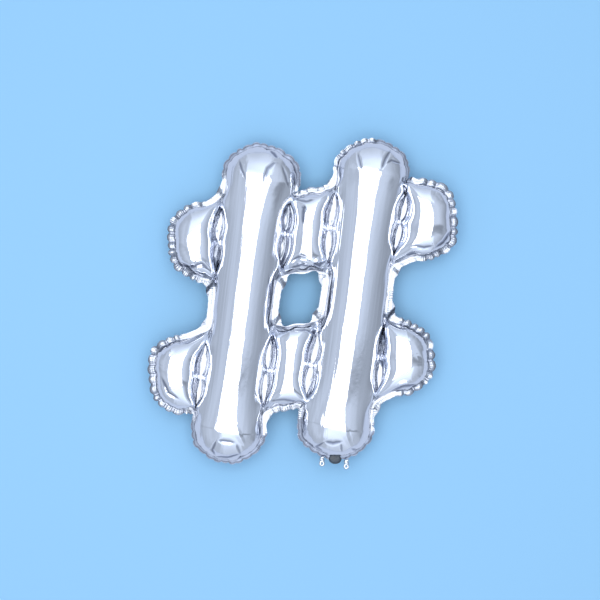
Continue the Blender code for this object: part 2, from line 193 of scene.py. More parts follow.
FAINT_LINES = 0.15

# The photo's camera
PHOTO_SIZE = 600                # pixels
PHOTO_WIDTH = 0.636             # metres of the seams' plane across the photo
LENS = 85                       # millimetres
SENSOR_WIDTH = 36
CAMERA_DISTANCE = PHOTO_WIDTH * LENS / SENSOR_WIDTH
CAMERA_TURN = math.radians(-4)

CREASE_MARGIN = 2.5             # pixels beside a crease that get finer triangles
CREASES = (                     # depth in metres (a ridge below 0), darkness of the shade painted along it, half width and line in the photo's pixels
                                # half width and line in the photo's pixels
    # Left bar's top
    (0.0008, 0.75, 2.6, ((239, 158), (241, 168), (246, 180))),
    (0.0009, 0.8, 3.0, ((281, 163), (274, 163), (268, 168), (265, 177), (264, 188))),
    (0.0012, 0.9, 3.0, ((269, 150), (274, 153), (278, 159))),
    (0.0006, 0.65, 2.2, ((281, 163), (286, 176), (289, 190))),
    # Right bar's top
    (0.0009, 0.8, 2.8, ((392, 148), (386, 158), (381, 171))),
    (0.0008, 0.75, 2.4, ((402, 164), (392, 160), (385, 164))),
    (0.0007, 0.7, 2.4, ((357, 151), (360, 163), (362, 173))),
    # Left bar's bottom
    (0.0010, 0.85, 3.6, ((216, 440), (226, 441.5), (237, 443))),
    (0.0009, 0.8, 2.6, ((217, 439), (212, 450), (216, 457))),
    (0.0007, 0.7, 2.2, ((236, 443), (239, 450), (241, 456))),
    (0.0006, 0.9, 1.9, ((212, 456.5), (228, 457.5), (243, 453))),
    (-0.0009, 0.0, 3.6, ((236, 424), (239, 436), (246, 447))),
    # Right bar's bottom
    (0.0010, 0.85, 3.6, ((323, 441), (333, 443.5), (344, 441))),
    (0.0008, 0.75, 2.4, ((326, 441), (316, 447), (325, 453))),
    (-0.0009, 0.0, 3.6, ((345, 422), (346, 436), (351, 448))),
    (0.0007, 0.7, 2.4, ((341, 443), (342, 453))),
    (0.0009, 0.8, 2.6, ((350, 448), (357, 451), (365, 447))),
    (0.0007, 0.7, 2.2, ((343, 457), (352, 455), (361, 451))),
    # Upper link
    (0.0002, 0.9, 4.2, ((301.5, 206), (304, 207.5), (306, 206))),
    (0.0002, 0.9, 3.6, ((303.8, 204), (303.5, 211), (303, 226))),
    (0.0008, 0.75, 2.4, ((294, 199), (306, 201), (316, 199))),
    (0.0009, 0.85, 2.8, ((290, 261), (301, 255.5), (311, 258.5))),
    (-0.0016, 0.0, 3.4, ((290, 264.5), (301, 259.5), (313, 262.5))),
    (0.0007, 0.9, 2.6, ((288, 268.5), (301, 265), (313, 266.5))),
    (-0.0014, 0.0, 3.2, ((312, 264), (319, 260), (328, 262))),
    (0.0007, 0.85, 2.4, ((311, 262), (320, 266), (327, 259))),
    # Lower link
    (0.0008, 0.75, 2.2, ((289, 331), (305, 329.5), (315, 333), (326, 329))),
    (0.0008, 0.75, 2.4, ((267, 401), (284, 400), (301, 402))),
    # Between the bars and the window: lines of painted shade only, with no fold
    (0.0, 0.75, 3.2, ((268.5, 272), (270, 298), (267, 322))),
    (0.0, 0.75, 3.2, ((332, 277), (330, 300), (327, 326))),
    # Arms
    (0.0014, 0.9, 3.2, ((175, 261), (190, 268), (202, 264), (214, 273))),
    (-0.0012, 0.0, 3.0, ((192, 263), (201, 260), (210, 267))),
    (-0.0006, 0.0, 4.0, ((184, 215), (191, 209), (207, 206))),
    (0.0012, 0.85, 3.0, ((160, 374), (168, 393), (182, 401))),
    (-0.0006, 0.0, 4.0, ((162, 362), (168, 352), (179, 342))),
    (0.0012, 0.85, 3.2, ((433, 249), (444, 242), (453, 228))),
    (-0.0016, 0.0, 3.0, ((412, 250), (424, 252), (437, 249))),
    (0.0007, 0.85, 2.4, ((408, 247), (416, 246), (424, 247.5), (436, 245))),
    (0.0007, 0.85, 2.4, ((404, 256), (414, 253.5), (421, 256))),
    (-0.0008, 0.0, 3.2, ((434, 189), (440, 194), (445, 202))),
    (-0.0006, 0.0, 4.0, ((413, 340), (424, 361), (422, 382))),
    (0.0013, 0.85, 3.0, ((384, 396), (402, 387), (422, 384))),
    (-0.0012, 0.0, 3.0, ((394, 387), (404, 383), (414, 383))),
)

# Sheets and their colours
FILM_THICKNESS = 0.0001
SEALED_THICKNESS = 0.0003
SHARP_ANGLE = math.radians(72)  # a fold is shaded as an edge from here on
WELD_PILLOW = 0.0006            # how far a weld's middle stands out
WELD_PILLOW_AT = (0.0012, 0.0030)   # where that starts and is full, from its edge
SEAM_MAP = 0.1                  # metres of a seam for each unit of its UV map
BEAD_PITCH = 0.0024
BEAD_ROW = 0.0042               # from the seam to the middle of its row of beads
DRAW_LINE_NOISE = (260.0, 1.0, 30.0)    # scale, detail and stretch along the bars
DENT_NOISE = (150.0, 3.5)
PATCH_NOISE = (28.0, 1.0)
PATCH_FROM = 0.47               # the beads show where the patches' noise is above this
PATCH_GAIN = 9.0
CLOUD_NOISE = 14.0
CLOUD_TONE = 0.94               # the film's tone varies down to this
WANDER_NOISE = 90.0             # the painted shade lines beside the seams wander a little, in the UV map's units
WANDER = 0.014

FILM_COLOUR = (0.86, 0.88, 0.935, 1)
SEALED_COLOUR = (0.45, 0.475, 0.52, 1)
WELD_COLOUR = (0.42, 0.44, 0.48, 1)
# painted reflection: the blue-grey of the backdrop on the drooping flanges round the bars' ends
END_FLANGE_REFLECTION_COLOUR = (0.60, 0.63, 0.72, 1)
# painted shade: along the creases, beside the seams and where the flanges' pleats pinch
PAINTED_SHADE_COLOUR = (0.22, 0.24, 0.31, 1)
# the darker painted shade on the flanges
SEALED_PAINTED_SHADE_COLOUR = (0.10, 0.11, 0.15, 1)
TAB_COLOUR = (0.50, 0.53, 0.58, 1)
# darkness of the shade painted where the flanges' pleats pinch
PINCH_SHADE = 0.8
# painted shade: dark ticks along the rows of beads near the welds
TICK_SHADE = 0.62
TICK_FADE = 0.003
VALVE_COLOUR = (0.009, 0.016, 0.024, 1)
FILM_SEAM_SHADE_TONES = (             # how bright the film is under its painted shade, by its distance from a seam, in centimetres
    (0.0, 0.30), (0.09, 0.35), (0.15, 0.92), (0.22, 0.92),
    (0.28, 0.50), (0.35, 0.85), (0.45, 0.97), (0.62, 1.0))
# painted shade round a weld's edge, by the distance from it in centimetres
WELD_EDGE_SHADE_TONES = ((0.0, 0.25), (0.05, 0.40), (0.11, 0.97), (1.0, 1.0))
# lines of painted shade on the flanges, by their distance from a seam in centimetres
SEALED_SEAM_SHADE_TONES = (
    (0.0, 0.30), (0.07, 0.45), (0.13, 1.0), (0.26, 0.97),
    (0.34, 0.40), (0.42, 0.97), (0.62, 0.93), (0.74, 0.50))
TAB_TONES = ((0.0, 0.9), (1.0, 0.9))

# Tabs and valve
TAB_RING = 0.0019
TAB_RIM = 0.0011
TAB_SHIFT = (-0.0010, 0.0018)   # of the ring, from the middle and lower end of the tab's plate
TAB_FLATNESS = 0.5
TAB_OVERLAP = 0.4               # of the rim, with the first fold
TAB_FOLDS = 3
TAB_FOLD_PITCH = 0.0019
TAB_FOLD_DRIFT = 0.0003
TAB_FOLD_SIZE = (0.0027, 0.0014, 0.0007)
TAB_FOLD_TURN = 0.2
VALVE_SHIFT = (0.0016, 0.0012)  # of the mouth, along Y from the sleeve's middle and up from its top
VALVE_MOUTH = (0.0066, 0.0048, 0.0008)
VALVE_LIP = (0.0062, 0.0006)    # the radius and half thickness of its ring
VALVE_LIP_SHIFT = (0.0003, 0.0002)
VALVE_LIP_SCALE = (1, 0.72, 1)
VALVE_TURN = -0.1
VALVE_GRAIN = 220.0
VALVE_CRINKLES = 420.0

# Studio
SOFT_BOX = (1.61, 1.50)
SOFT_BOX_SHIFT = -0.145
SOFT_BOX_HEIGHT = 1.75
SOFT_BOX_POWER = 20
FLOOR_GAP = 0.0005              # below the lowest film
BACKDROP_COLOUR = (0.268, 0.505, 0.72, 1)
BACKDROP_BOUNCE = (0.50, 0.54, 0.62, 1)     # how the film sees the backdrop
SKY_TINT = (0.88, 1.0, 1.20)
SKY_BY_TURN = (                 # tones round the Y axis: 0 and 1 are below, 0.25 left, 0.75 right
    (0.0, 0.50), (0.18, 0.52), (0.236, 0.50), (0.283, 0.52), (0.322, 0.62), (0.361, 0.70),
    (0.394, 0.62), (0.43, 0.70), (0.592, 0.78), (0.622, 0.68), (0.656, 0.56), (0.692, 0.46),
    (0.733, 0.36), (0.778, 0.40), (0.833, 0.52), (1.0, 0.50))
LOWER_SKY_BY_TURN = (
    (0.0, 0.48), (0.18, 0.50), (0.236, 0.44), (0.283, 0.46), (0.322, 0.55), (0.361, 0.58),
    (0.394, 0.56), (0.43, 0.70), (0.575, 0.33), (0.656, 0.31), (0.680, 0.38), (0.72, 0.46),
    (0.75, 0.36), (0.833, 0.52), (1.0, 0.48))
LOWER_SKY_FROM = (-0.035, -0.105)   # where it fades in and out, by a direction's share along the bars
LOWER_SKY_UP_TO = (-0.30, -0.13)
ENDS_FROM = (0.55, 0.75)        # where the plain sky beside the glow fades in, along Y
GLOW_FROM = (0.34, 0.40)        # and the glow itself, along Y and across
GLOW_MIDDLE = 0.05
GLOW_HALF_WIDTH = (0.46, 0.34)
SKY_AT_ENDS = (
    (0.0, 1.35), (0.38, 1.35), (0.52, 1.20), (0.64, 1.04), (0.74, 0.90), (0.86, 0.80), (1.0, 0.66))
SKY_BESIDE_ENDS = tuple(0.56 * channel for channel in SKY_TINT) + (1,)


def beside(side, across, y):
    """A point of the pattern at height y, across metres from a bar's axis."""
    return Vector((side * BAR_REACH + y * math.tan(SLANT) + across / math.cos(SLANT), y))


def on_bar(bar, along, across):
    side, shift, _ = BARS[bar]
    middle = Vector((side * BAR_REACH + shift * math.tan(SLANT), shift))
    return middle + ALONG * along + ACROSS * across


def tangent_length(corners, index):
    corner, radius = corners[index]
    back, ahead = corners[index - 1][0] - corner, corners[(index + 1) % len(corners)][0] - corner
    return radius * math.tan((math.pi - back.angle(ahead)) / 2)


def rounded(corners):
    """A closed loop of points a weave apart, from corners with their radii.

    A web gives way to a round end beside it.
    """
    loop = []
    for index, (corner, radius) in enumerate(corners):
        back = (corners[index - 1][0] - corner).normalized()
        ahead = (corners[(index + 1) % len(corners)][0] - corner).normalized()
        turn = math.pi - back.angle(ahead)
        if radius == CUT_CORNER:
            room = min((corners[other][0] - corner).length - tangent_length(corners, other)
                       for other in (index - 1, (index + 1) % len(corners)))
            radius = min(radius, WEB_ROOM * room / math.tan(turn / 2))
        centre = corner + (back + ahead).normalized() * radius / math.cos(turn / 2)
        spoke = corner + back * radius * math.tan(turn / 2) - centre
        sweep = turn if ahead.cross(back) > 0 else -turn
        steps = max(3, round(radius * turn / WEAVE))
        loop += [centre + Matrix.Rotation(sweep * step / steps, 2) @ spoke for step in range(steps + 1)]
    spaced = []
    for start, end in zip(loop, loop[1:] + loop[:1]):
        pieces = max(1, round((end - start).length / WEAVE))
        spaced += [start.lerp(end, piece / pieces) for piece in range(pieces)]
    clean = []
    for point in spaced:
        if not clean or (point - clean[-1]).length > LEAST_STEP * WEAVE:
            clean.append(point)
    if (clean[0] - clean[-1]).length < LEAST_STEP * WEAVE:
        clean.pop()
    return clean


def outer_loop(is_cut):
    """The outer seam, or the cut edge of the flange outside it."""
    at_ends, at_bays, at_rows, at_tips = (
        (FLANGE_AT_ENDS, FLANGE_AT_BAYS, FLANGE_AT_ROWS, FLANGE_AT_TIPS) if is_cut else (0, 0, 0, 0))
    corner = CUT_CORNER if is_cut else SEAM_CORNER
    end_width, bay_width = BAR_HALF_WIDTH_AT_ENDS + at_ends, BAR_HALF_WIDTH_AT_BAYS + at_bays

    def arm(row, bar):
        side, row_side = BARS[bar][0], ROWS[row]
        inner, outer, reach = ARMS[row, bar]
        inner, outer = inner - row_side * at_rows, outer + row_side * at_rows
        tip_x = (inner + outer) / 2 * math.tan(SLANT) + side * (reach + at_tips)
        radius = min(ARM_CORNER + at_tips, abs(outer - inner) * TIP_ROUNDING)
        corners = []
        for end in (-side, side):
            y, width = (outer, end_width) if end == row_side else (inner, bay_width)
            edge = [(beside(side, side * width, y), corner), (Vector((tip_x, y)), radius)]
            corners += edge if end == -side else edge[::-1]
        return corners

    def ends(row, bar, other):
        end, side = ROWS[row], BARS[bar][0]
        tips = []
        for each in (bar, other):
            length = BARS[each][2] + at_ends
            for across in (side * end_width, -side * end_width):
                tips.append((on_bar(each, end * length, across), end_width * BAR_END_ROUNDING))
        y = LINKS[row][1] + end * at_rows
        inner = [(beside(side, -side * end_width, y), corner),
                 (beside(-side, side * end_width, y), corner)]
        middle = (inner[0][0] + inner[1][0]) / 2 + Vector((0, end * LINK_OUTER_BOW))
        inner.insert(1, (middle, LINK_BOW_RADIUS))
        return tips[:2] + inner + tips[2:]

    corners = arm("lower", "right") + arm("upper", "right") + ends("upper", "right", "left")
    corners += arm("upper", "left") + arm("lower", "left") + ends("lower", "left", "right")
    return rounded(corners)


def window_loop(is_cut):
    out, inward = (FLANGE_AT_WINDOW, FLANGE_AT_WINDOW_ENDS) if is_cut else (0, 0)
    left, right = (BAR_HALF_WIDTH_AT_WINDOW[bar] + out for bar in BARS)
    low, high = LINKS["lower"][0] + inward, LINKS["upper"][0] - inward
    corner = WINDOW_CUT_CORNER if is_cut else SEAM_CORNER
    outline = []
    for y, bow, order in ((low, LINK_BOW, (0, 1)), (high, -LINK_BOW, (1, 0))):
        ends = [[beside(-1, left, y)], [beside(1, -right, y)]]
        middle = (ends[0][0] + ends[1][0]) / 2 + Vector((0, bow))
        if is_cut:
            for end, away in ((ends[0], 1), (ends[1], -1)):
                along_bar = end[0] + ALONG * math.copysign(WINDOW_WEBS[1], bow)
                end[:] = [along_bar, end[0] + Vector((away * WINDOW_WEBS[0], 0))]
        first, last = ends[order[0]], ends[order[1]][::-1]
        outline += [(point, corner) for point in first] + [(middle, LINK_BOW_RADIUS)]
        outline += [(point, corner) for point in last]
    return rounded(outline)


def weld_loop(centre, end_side):
    """An egg-like lens, with its blunt end towards its row's centre line."""
    steps = 2 * round(WELD_LENGTH / WEAVE)
    loop = []
    for step in range(steps):
        angle = 2 * math.pi * (step + 0.5) / steps
        bulge = math.sin(angle) * (1 + WELD_EGG * math.cos(angle))
        along = ALONG * end_side * WELD_LENGTH / 2 * math.cos(angle)
        loop.append(centre - along + ACROSS * WELD_WIDTH / 2 * bulge)
    return loop


def weld_loops():
    loops = {}
    for row, row_side in ROWS.items():
        for bar, (side, _, _) in BARS.items():
            for place in ("outer", "inner"):
                away = side * WELD_FROM_AXIS[place] * (1 if place == "outer" else -1)
                for end, end_side in (("top", 1), ("bottom", -1)):
                    name = f"{row}_{bar}_{place}_neck_{end}_weld"
                    y = row_side * WELD_ROW_MIDDLE + end_side * WELD_OFFSET
                    loops[name] = weld_loop(beside(side, away, y), end_side)
    return loops


def is_inside(points, loop):
    """Which points lie inside a closed loop, by counting crossings."""
    x, y = points[:, 0], points[:, 1]
    result = np.zeros(len(points), bool)
    corners = np.array([tuple(corner) for corner in loop])
    for (x0, y0), (x1, y1) in zip(corners, np.roll(corners, -1, 0)):
        if y0 != y1:
            crosses = (y0 > y) != (y1 > y)
            result ^= crosses & (x < (x1 - x0) * (y - y0) / (y1 - y0) + x0)
    return result


def near(points):
    tree = KDTree(len(points))
    for index, point in enumerate(points):
        tree.insert((point[0], point[1], 0), index)
    tree.balance()
    return tree


def cut_pattern():
    """Triangulates the flat pattern. A point inside a chamber is there twice, once for each film."""
    seams = {"outer": outer_loop(False), "window": window_loop(False)} | weld_loops()
    cuts = [outer_loop(True), window_loop(True)]
    loops = cuts + list(seams.values())
    border = np.array([tuple(point) for loop in loops for point in loop])
    edges = []
    for loop in loops:
        start = len(edges)
        edges += [(start + step, start + (step + 1) % len(loop)) for step in range(len(loop))]
    dice = random.Random(7)
    low, high = border.min(0), border.max(0)
    rise = WEAVE * math.sqrt(3) / 2
    grid = np.array([
        (low[0] + (column + 0.5 * (line % 2) + dice.uniform(-JITTER, JITTER)) * WEAVE,
         low[1] + line * rise + dice.uniform(-JITTER, JITTER) * WEAVE)
        for line in range(int((high[1] - low[1]) / rise) + 2)
        for column in range(int((high[0] - low[0]) / WEAVE) + 2)])
    grid = grid[is_inside(grid, cuts[0]) & ~is_inside(grid, cuts[1])]
    tree = near(border)
    grid = [point for point in grid if tree.find((point[0], point[1], 0))[2] > LOOP_MARGIN * WEAVE]
    points = [Vector(point) for point in border] + [Vector(point) for point in grid]
    points, _, faces, _, _, _ = geometry.delaunay_2d_cdt(points, edges, [], 0, 1e-7)
    points = np.array([tuple(point) for point in points])
    faces = np.array([face for face in faces if len(face) == 3])
    middles = points[faces].mean(1)
    kept = is_inside(middles, cuts[0]) & ~is_inside(middles, cuts[1])
    faces, middles = faces[kept], middles[kept]
    one, two, three = points[faces].swapaxes(0, 1)
    turned = np.cross(two - one, three - one) < 0
    faces[turned] = faces[turned][:, ::-1]

    groups = {"window_flange": is_inside(middles, seams["window"])}
    groups["outer_flange"] = ~is_inside(middles, seams["outer"])
    for name in list(seams)[2:]:
        groups[name] = is_inside(middles, seams[name])
    blown = ~np.any(list(groups.values()), axis=0)
    used = np.unique(faces)
    number = np.full(len(points), -1)
    number[used] = np.arange(len(used))
    points, faces = points[used], number[faces]
    sealed = np.zeros(len(points), bool)
    sealed[faces[~blown]] = True
    back = np.arange(len(points))
    back[~sealed] = len(points) + np.arange((~sealed).sum())
    side = np.where(sealed, 0, 1)
    side = np.concatenate([side, -np.ones((~sealed).sum(), int)])
    tree = near(points)
    rings = {name: np.array([tree.find((point.x, point.y, 0))[1] for point in loop])
             for name, loop in seams.items()}
    parts = {name: faces[chosen] for name, chosen in groups.items()}
    parts["front"] = faces[blown]
    parts["back"] = back[faces[blown]][:, ::-1]
    return np.concatenate([points, points[~sealed]]), side, parts, rings


def blown_plan(flat):
    """Where the flat points lie, seen from above, once the tubes are blown and have drawn in."""
    lean = flat[:, 1] * math.tan(SLANT)
    x = (flat[:, 0] - lean) * SHRINK_ACROSS + lean * SHRINK_ALONG
    return np.stack([x, flat[:, 1] * SHRINK_ALONG], 1)


def blow_up(flat, side, parts):
    """Cloth under pressure, from a raised and drawn-in start to the size of the flat film."""
    sealed = flat[side == 0]
    tree = near(sealed)
    away = np.array([tree.find((point[0], point[1], 0))[2] for point in flat])
    arch = np.sin(np.minimum(1, away / TUBE_HALF_FLAT) * math.pi / 2)
    rise = START_RISE * 2 / math.pi * TUBE_HALF_FLAT * arch
    start = np.column_stack([blown_plan(flat), side * np.maximum(rise, START_GAP)])
    mesh = bpy.data.meshes.new("blown_film")
    mesh.from_pydata((start * SIM_SCALE).tolist(), [], np.concatenate(list(parts.values())).tolist())
    film = bpy.data.objects.new("blown_film", mesh)
    bpy.context.scene.collection.objects.link(film)
    film.shape_key_add(name="Basis")
    cut = film.shape_key_add(name="cut_flat")
    cut_flat = np.column_stack([flat, side * FLAT_GAP]) * SIM_SCALE
    cut.data.foreach_set("co", cut_flat.astype(np.float32).ravel())
    for value, at in ((0.0, 1), (1.0, FLAT_BY_FRAME)):
        cut.value = value
        cut.keyframe_insert("value", frame=at)
    for name, chosen in (("chambers", side != 0), ("seams", side == 0)):
        film.vertex_groups.new(name=name).add(np.nonzero(chosen)[0].tolist(), 1.0, "REPLACE")
    cloth = film.modifiers.new("Cloth", "CLOTH")
    settings = cloth.settings
    settings.use_dynamic_mesh = True
    settings.quality = CLOTH_QUALITY
    settings.mass = FILM_MASS
    settings.air_damping = AIR_DAMPING
    settings.tension_stiffness = settings.tension_stiffness_max = TENSION
    settings.compression_stiffness = FILM_COMPRESSION
    settings.compression_stiffness_max = SEAM_COMPRESSION
    settings.shear_stiffness = TENSION / 2
    settings.bending_stiffness = BENDING
    settings.tension_damping = settings.compression_damping = settings.shear_damping = STRETCH_DAMPING
    settings.bending_damping = BENDING_DAMPING
    settings.use_pressure = True
    settings.uniform_pressure_force = PRESSURE
    settings.vertex_group_pressure = "chambers"
    settings.vertex_group_structural_stiffness = "seams"
    settings.effector_weights.gravity = 0
    cloth.collision_settings.use_collision = False
    cloth.collision_settings.use_self_collision = False
    cloth.point_cache.frame_start = 1
    cloth.point_cache.frame_end = SIM_FRAMES
    for step in range(1, SIM_FRAMES + 1):
        bpy.context.scene.frame_set(step)
    blown = film.evaluated_get(bpy.context.evaluated_depsgraph_get()).data
    place = np.empty(len(flat) * 3)
    blown.vertices.foreach_get("co", place)
    bpy.data.objects.remove(film)
    bpy.context.scene.frame_set(1)
    plan = np.column_stack([blown_plan(flat), np.zeros(len(flat))])
    return square_up(place.reshape(-1, 3) / SIM_SCALE, plan)


def square_up(place, plan):
    """Turns and shifts the blown film, as one rigid body, to lie best on its plan."""
    middle, target = place.mean(0), plan.mean(0)
    left, _, right = np.linalg.svd((place - middle).T @ (plan - target))
    mirror = np.diag([1, 1, np.sign(np.linalg.det(right.T @ left.T))])
    return (place - middle) @ (right.T @ mirror @ left.T).T + target


def settle(place):
    """Shifts the film sideways, smoothly, by the amounts in the table of places."""
    spots, shifts = (np.array(column) for column in zip(*SETTLING.values()))

    def pull(points):
        return np.exp(-(np.linalg.norm(points[:, None] - spots, axis=2) / SETTLING_REACH) ** 2)

    place[:, :2] += pull(place[:, :2]) @ np.linalg.solve(pull(spots), shifts)


def edges_of(faces):
    pairs = np.concatenate([faces[:, [0, 1]], faces[:, [1, 2]], faces[:, [2, 0]]])
    return np.unique(np.sort(pairs, 1), axis=0)


def soften(place, edges, weight, free, smoothing):
    """Moves the free points towards the weighted mean of their neighbours, and in turn away again."""
    strengths, rounds = smoothing
    one, two = edges.T
    count = len(place)
    total = np.maximum(np.bincount(one, weight, count) + np.bincount(two, weight, count), 1e-9)
    for step in range(rounds):
        mean = np.stack([np.bincount(one, weight * place[two, axis], count)
                         + np.bincount(two, weight * place[one, axis], count) for axis in range(3)], 1)
        strength = free * strengths[step % len(strengths)]
        place = place + strength[:, None] * (mean / total[:, None] - place)
    return place


def normals_of(place, faces):
    one, two, three = place[faces].swapaxes(0, 1)
    face_normals = np.cross(two - one, three - one)
    normals = np.zeros_like(place)
    for corner in range(3):
        np.add.at(normals, faces[:, corner], face_normals)
    return normals / np.maximum(np.linalg.norm(normals, axis=1), 1e-12)[:, None]


def smooth_step(value):
    value = np.clip(value, 0, 1)
    return value * value * (3 - 2 * value)


def bar_coordinates(flat, bar):
    """Distance along and across a bar, from its middle."""
    from_middle = flat - np.array(on_bar(bar, 0, 0))
    return from_middle @ np.array(ALONG), from_middle @ np.array(ACROSS)


def smooth_ring(values, rounds):
    """Draws the values round a closed ring towards the mean of their neighbours."""
    for _ in range(rounds):
        values = 0.5 * values + 0.25 * (np.roll(values, 1, 0) + np.roll(values, -1, 0))
    return values


def draw_out(place, flat, side, parts, rings):
    """Takes the simulation's small kinks out of the seams, the chambers and the long tubes."""
    for name, ring in rings.items():
        rounds = SEAM_ROUNDS if name in ("outer", "window") else WELD_SEAM_ROUNDS
        place[ring] = smooth_ring(place[ring], rounds)
    welds = np.concatenate([faces for name, faces in parts.items() if name.endswith("weld")])
    inner = np.zeros(len(place))
    inner[welds] = 1
    for ring in rings.values():
        inner[ring] = 0
    weld_edges = edges_of(welds)
    place = soften(place, weld_edges, np.ones(len(weld_edges)), inner, WELD_SMOOTHING)
    films = np.concatenate([parts["front"], parts["back"]])
    edges = edges_of(films)
    free = (side != 0).astype(float)
    place = soften(place, edges, np.ones(len(edges)), free, FILM_SMOOTHING)
    way = flat[edges[:, 1]] - flat[edges[:, 0]]
    way /= np.linalg.norm(way, axis=1)[:, None]
    lengthwise = np.abs(way @ np.array(ALONG)) ** LENGTHWISE_POWER + CROSSWISE_SHARE
    for bar, (_, _, half_length) in BARS.items():
        along, across = bar_coordinates(flat, bar)
        in_core = smooth_step((CORE_HALF_WIDTH - np.abs(across)) / CORE_FADE)
        in_length = smooth_step((half_length - CORE_FROM_END - np.abs(along)) / CORE_END_FADE)
        place = soften(place, edges, lengthwise, free * in_core * in_length, CORE_SMOOTHING)
    return place


def curve_middles(place, one, two, normals):
    """The middles of edges, on the curves that the normals at their ends suggest."""
    step = place[two] - place[one]
    lift = np.einsum("ij,ij->i", step, normals[one])[:, None] * normals[one]
    lift -= np.einsum("ij,ij->i", step, normals[two])[:, None] * normals[two]
    return (place[one] + place[two]) / 2 - lift / 8


def quarters(a, b, c, ab, bc, ca):
    return [np.stack(three, 1) for three in ((a, ab, ca), (ab, b, bc), (ca, bc, c), (ab, bc, ca))]


def refine(place, flat, side, parts, rings):
    """Quarters every triangle, with the films' and seams' new points on smooth curves."""
    one, two = edges_of(np.concatenate(list(parts.values()))).T
    middle = (place[one] + place[two]) / 2
    for name, sign in (("front", 1), ("back", -1)):
        chosen = (side[one] == sign) | (side[two] == sign)
        middle[chosen] = curve_middles(place, one[chosen], two[chosen], normals_of(place, parts[name]))
    count = len(place)
    key = one.astype(np.int64) * count + two

    def between(first, second):
        low, high = np.minimum(first, second), np.maximum(first, second)
        return count + np.searchsorted(key, low.astype(np.int64) * count + high)

    def quarter(faces):
        a, b, c = faces.T
        return np.concatenate(quarters(a, b, c, between(a, b), between(b, c), between(c, a)))

    finer = {}
    for name, ring in rings.items():
        new = between(ring, np.roll(ring, -1))
        line = place[ring]
        curved = (9 * (line + np.roll(line, -1, 0)) - np.roll(line, 1, 0) - np.roll(line, -2, 0)) / 16
        middle[new - count] = curved
        finer[name] = np.stack([ring, new], 1).ravel()
    mid_side = np.where(side[one] == side[two], side[one], side[one] + side[two])
    return (np.concatenate([place, middle]), np.concatenate([flat, (flat[one] + flat[two]) / 2]),
            np.concatenate([side, mid_side]),
            {name: quarter(faces) for name, faces in parts.items()}, finer)


class Seam:
    """A seam's ring in the flat pattern and in space, with its pleats."""

    def __init__(self, place, flat, ring, dice):
        self.flat = flat[ring]
        self.place = place[ring]
        steps = np.linalg.norm(np.roll(self.flat, -1, 0) - self.flat, axis=1)
        self.length = steps.sum()
        self.at = np.concatenate([[0], np.cumsum(steps)])[:-1]
        self.tree = near(self.flat)
        flat_way = np.roll(self.flat, -1, 0) - np.roll(self.flat, 1, 0)
        self.flat_way = flat_way / np.linalg.norm(flat_way, axis=1)[:, None]
        way = (np.roll(self.place, -1, 0) - np.roll(self.place, 1, 0))[:, :2]
        turn = np.arctan2(
            self.flat_way[:, 0] * way[:, 1] - self.flat_way[:, 1] * way[:, 0],
            self.flat_way[:, 0] * way[:, 0] + self.flat_way[:, 1] * way[:, 1])
        self.turn = smooth_ring(turn, TURN_ROUNDS)
        self.tips = self.convexity()
        breaks = [0.0]
        while breaks[-1] < self.length - PLEAT_LENGTHS[0]:
            breaks.append(breaks[-1] + dice.uniform(*PLEAT_LENGTHS))
        self.breaks = np.array(breaks) * self.length / breaks[-1]
        self.sizes = np.array([dice.uniform(*PLEAT_SIZES) for _ in breaks])
        self.signs = np.array([dice.choice(PLEAT_SIGNS) for _ in breaks])

    def convexity(self):
        """How tightly the ring curves outwards near each of its points, from 0 to 1."""
        reach = max(1, round(BEND_REACH / (self.length / len(self.at))))
        ahead, behind = np.roll(self.flat_way, -reach, 0), np.roll(self.flat_way, reach, 0)
        cross = behind[:, 0] * ahead[:, 1] - behind[:, 1] * ahead[:, 0]
        bend = np.arctan2(cross, (behind * ahead).sum(1))
        tips = smooth_step((bend - TIP_BENDS[0]) / (TIP_BENDS[1] - TIP_BENDS[0]))
        return smooth_ring(tips, TIP_ROUNDS)

    def nearest(self, points):
        """For each flat point: the ring point before its nearest place on the seam, how far that place
        is on the way to the next ring point, the gap from it, and the gap's length."""
        found = np.array([self.tree.find((point[0], point[1], 0))[1] for point in points])
        count = len(self.at)
        best = None
        for shift in (0, -1):
            first = (found + shift) % count
            start, end = self.flat[first], self.flat[(first + 1) % count]
            way = end - start
            share = np.clip(((points - start) * way).sum(1) / (way ** 2).sum(1), 0, 1)
            gap = points - (start + way * share[:, None])
            distance = np.linalg.norm(gap, axis=1)
            if best is None:
                best = [first, share, gap, distance]
            else:
                closer = distance < best[3] - 1e-9
                best = [np.where(closer if old.ndim == 1 else closer[:, None], new, old)
                        for new, old in zip((first, share, gap, distance), best)]
        return best

    def value(self, row, first, share):
        share = share if row.ndim == 1 else share[:, None]
        return row[first] * (1 - share) + row[(first + 1) % len(self.at)] * share

    def along(self, first, share):
        steps = np.append(self.at[1:], self.length) - self.at
        return self.at[first] + steps[first] * share

    def pleat(self, along):
        """Which pleat a place on the seam is in, and how far through it."""
        along = along % self.length
        number = np.searchsorted(self.breaks, along, "right") - 1
        number = np.clip(number, 0, len(self.breaks) - 2)
        share = (along - self.breaks[number]) / (self.breaks[number + 1] - self.breaks[number])
        return number, np.clip(share, 0, 1)


def at_bar_ends(flat):
    """How much each flat point belongs to a bar's rounded end with its smooth flange, from 0 to 1."""
    share = np.zeros(len(flat))
    for bar, (_, _, half_length) in BARS.items():
        along, across = bar_coordinates(flat, bar)
        at_end = smooth_step((np.abs(along) - half_length + BAR_END) / BAR_END_FADE)
        at_end *= np.abs(across) < BAR_END_HALF_WIDTH
        if bar == "right":
            at_end *= np.where(along > 0, smooth_step((across - LOBED_ACROSS) / LOBED_FADE), 1)
        share = np.maximum(share, at_end)
    return share


def at_link_ends(flat):
    """How much each flat point belongs to the outer edge of a link, from 0 to 1."""
    inside = np.min([-BARS[bar][0] * bar_coordinates(flat, bar)[1] for bar in BARS], axis=0)
    from_axes, from_middle = LINK_END
    outside = smooth_step((np.abs(flat[:, 1]) - from_middle) / LINK_END_FADE)
    return smooth_step((inside - from_axes) / LINK_END_FADE) * outside


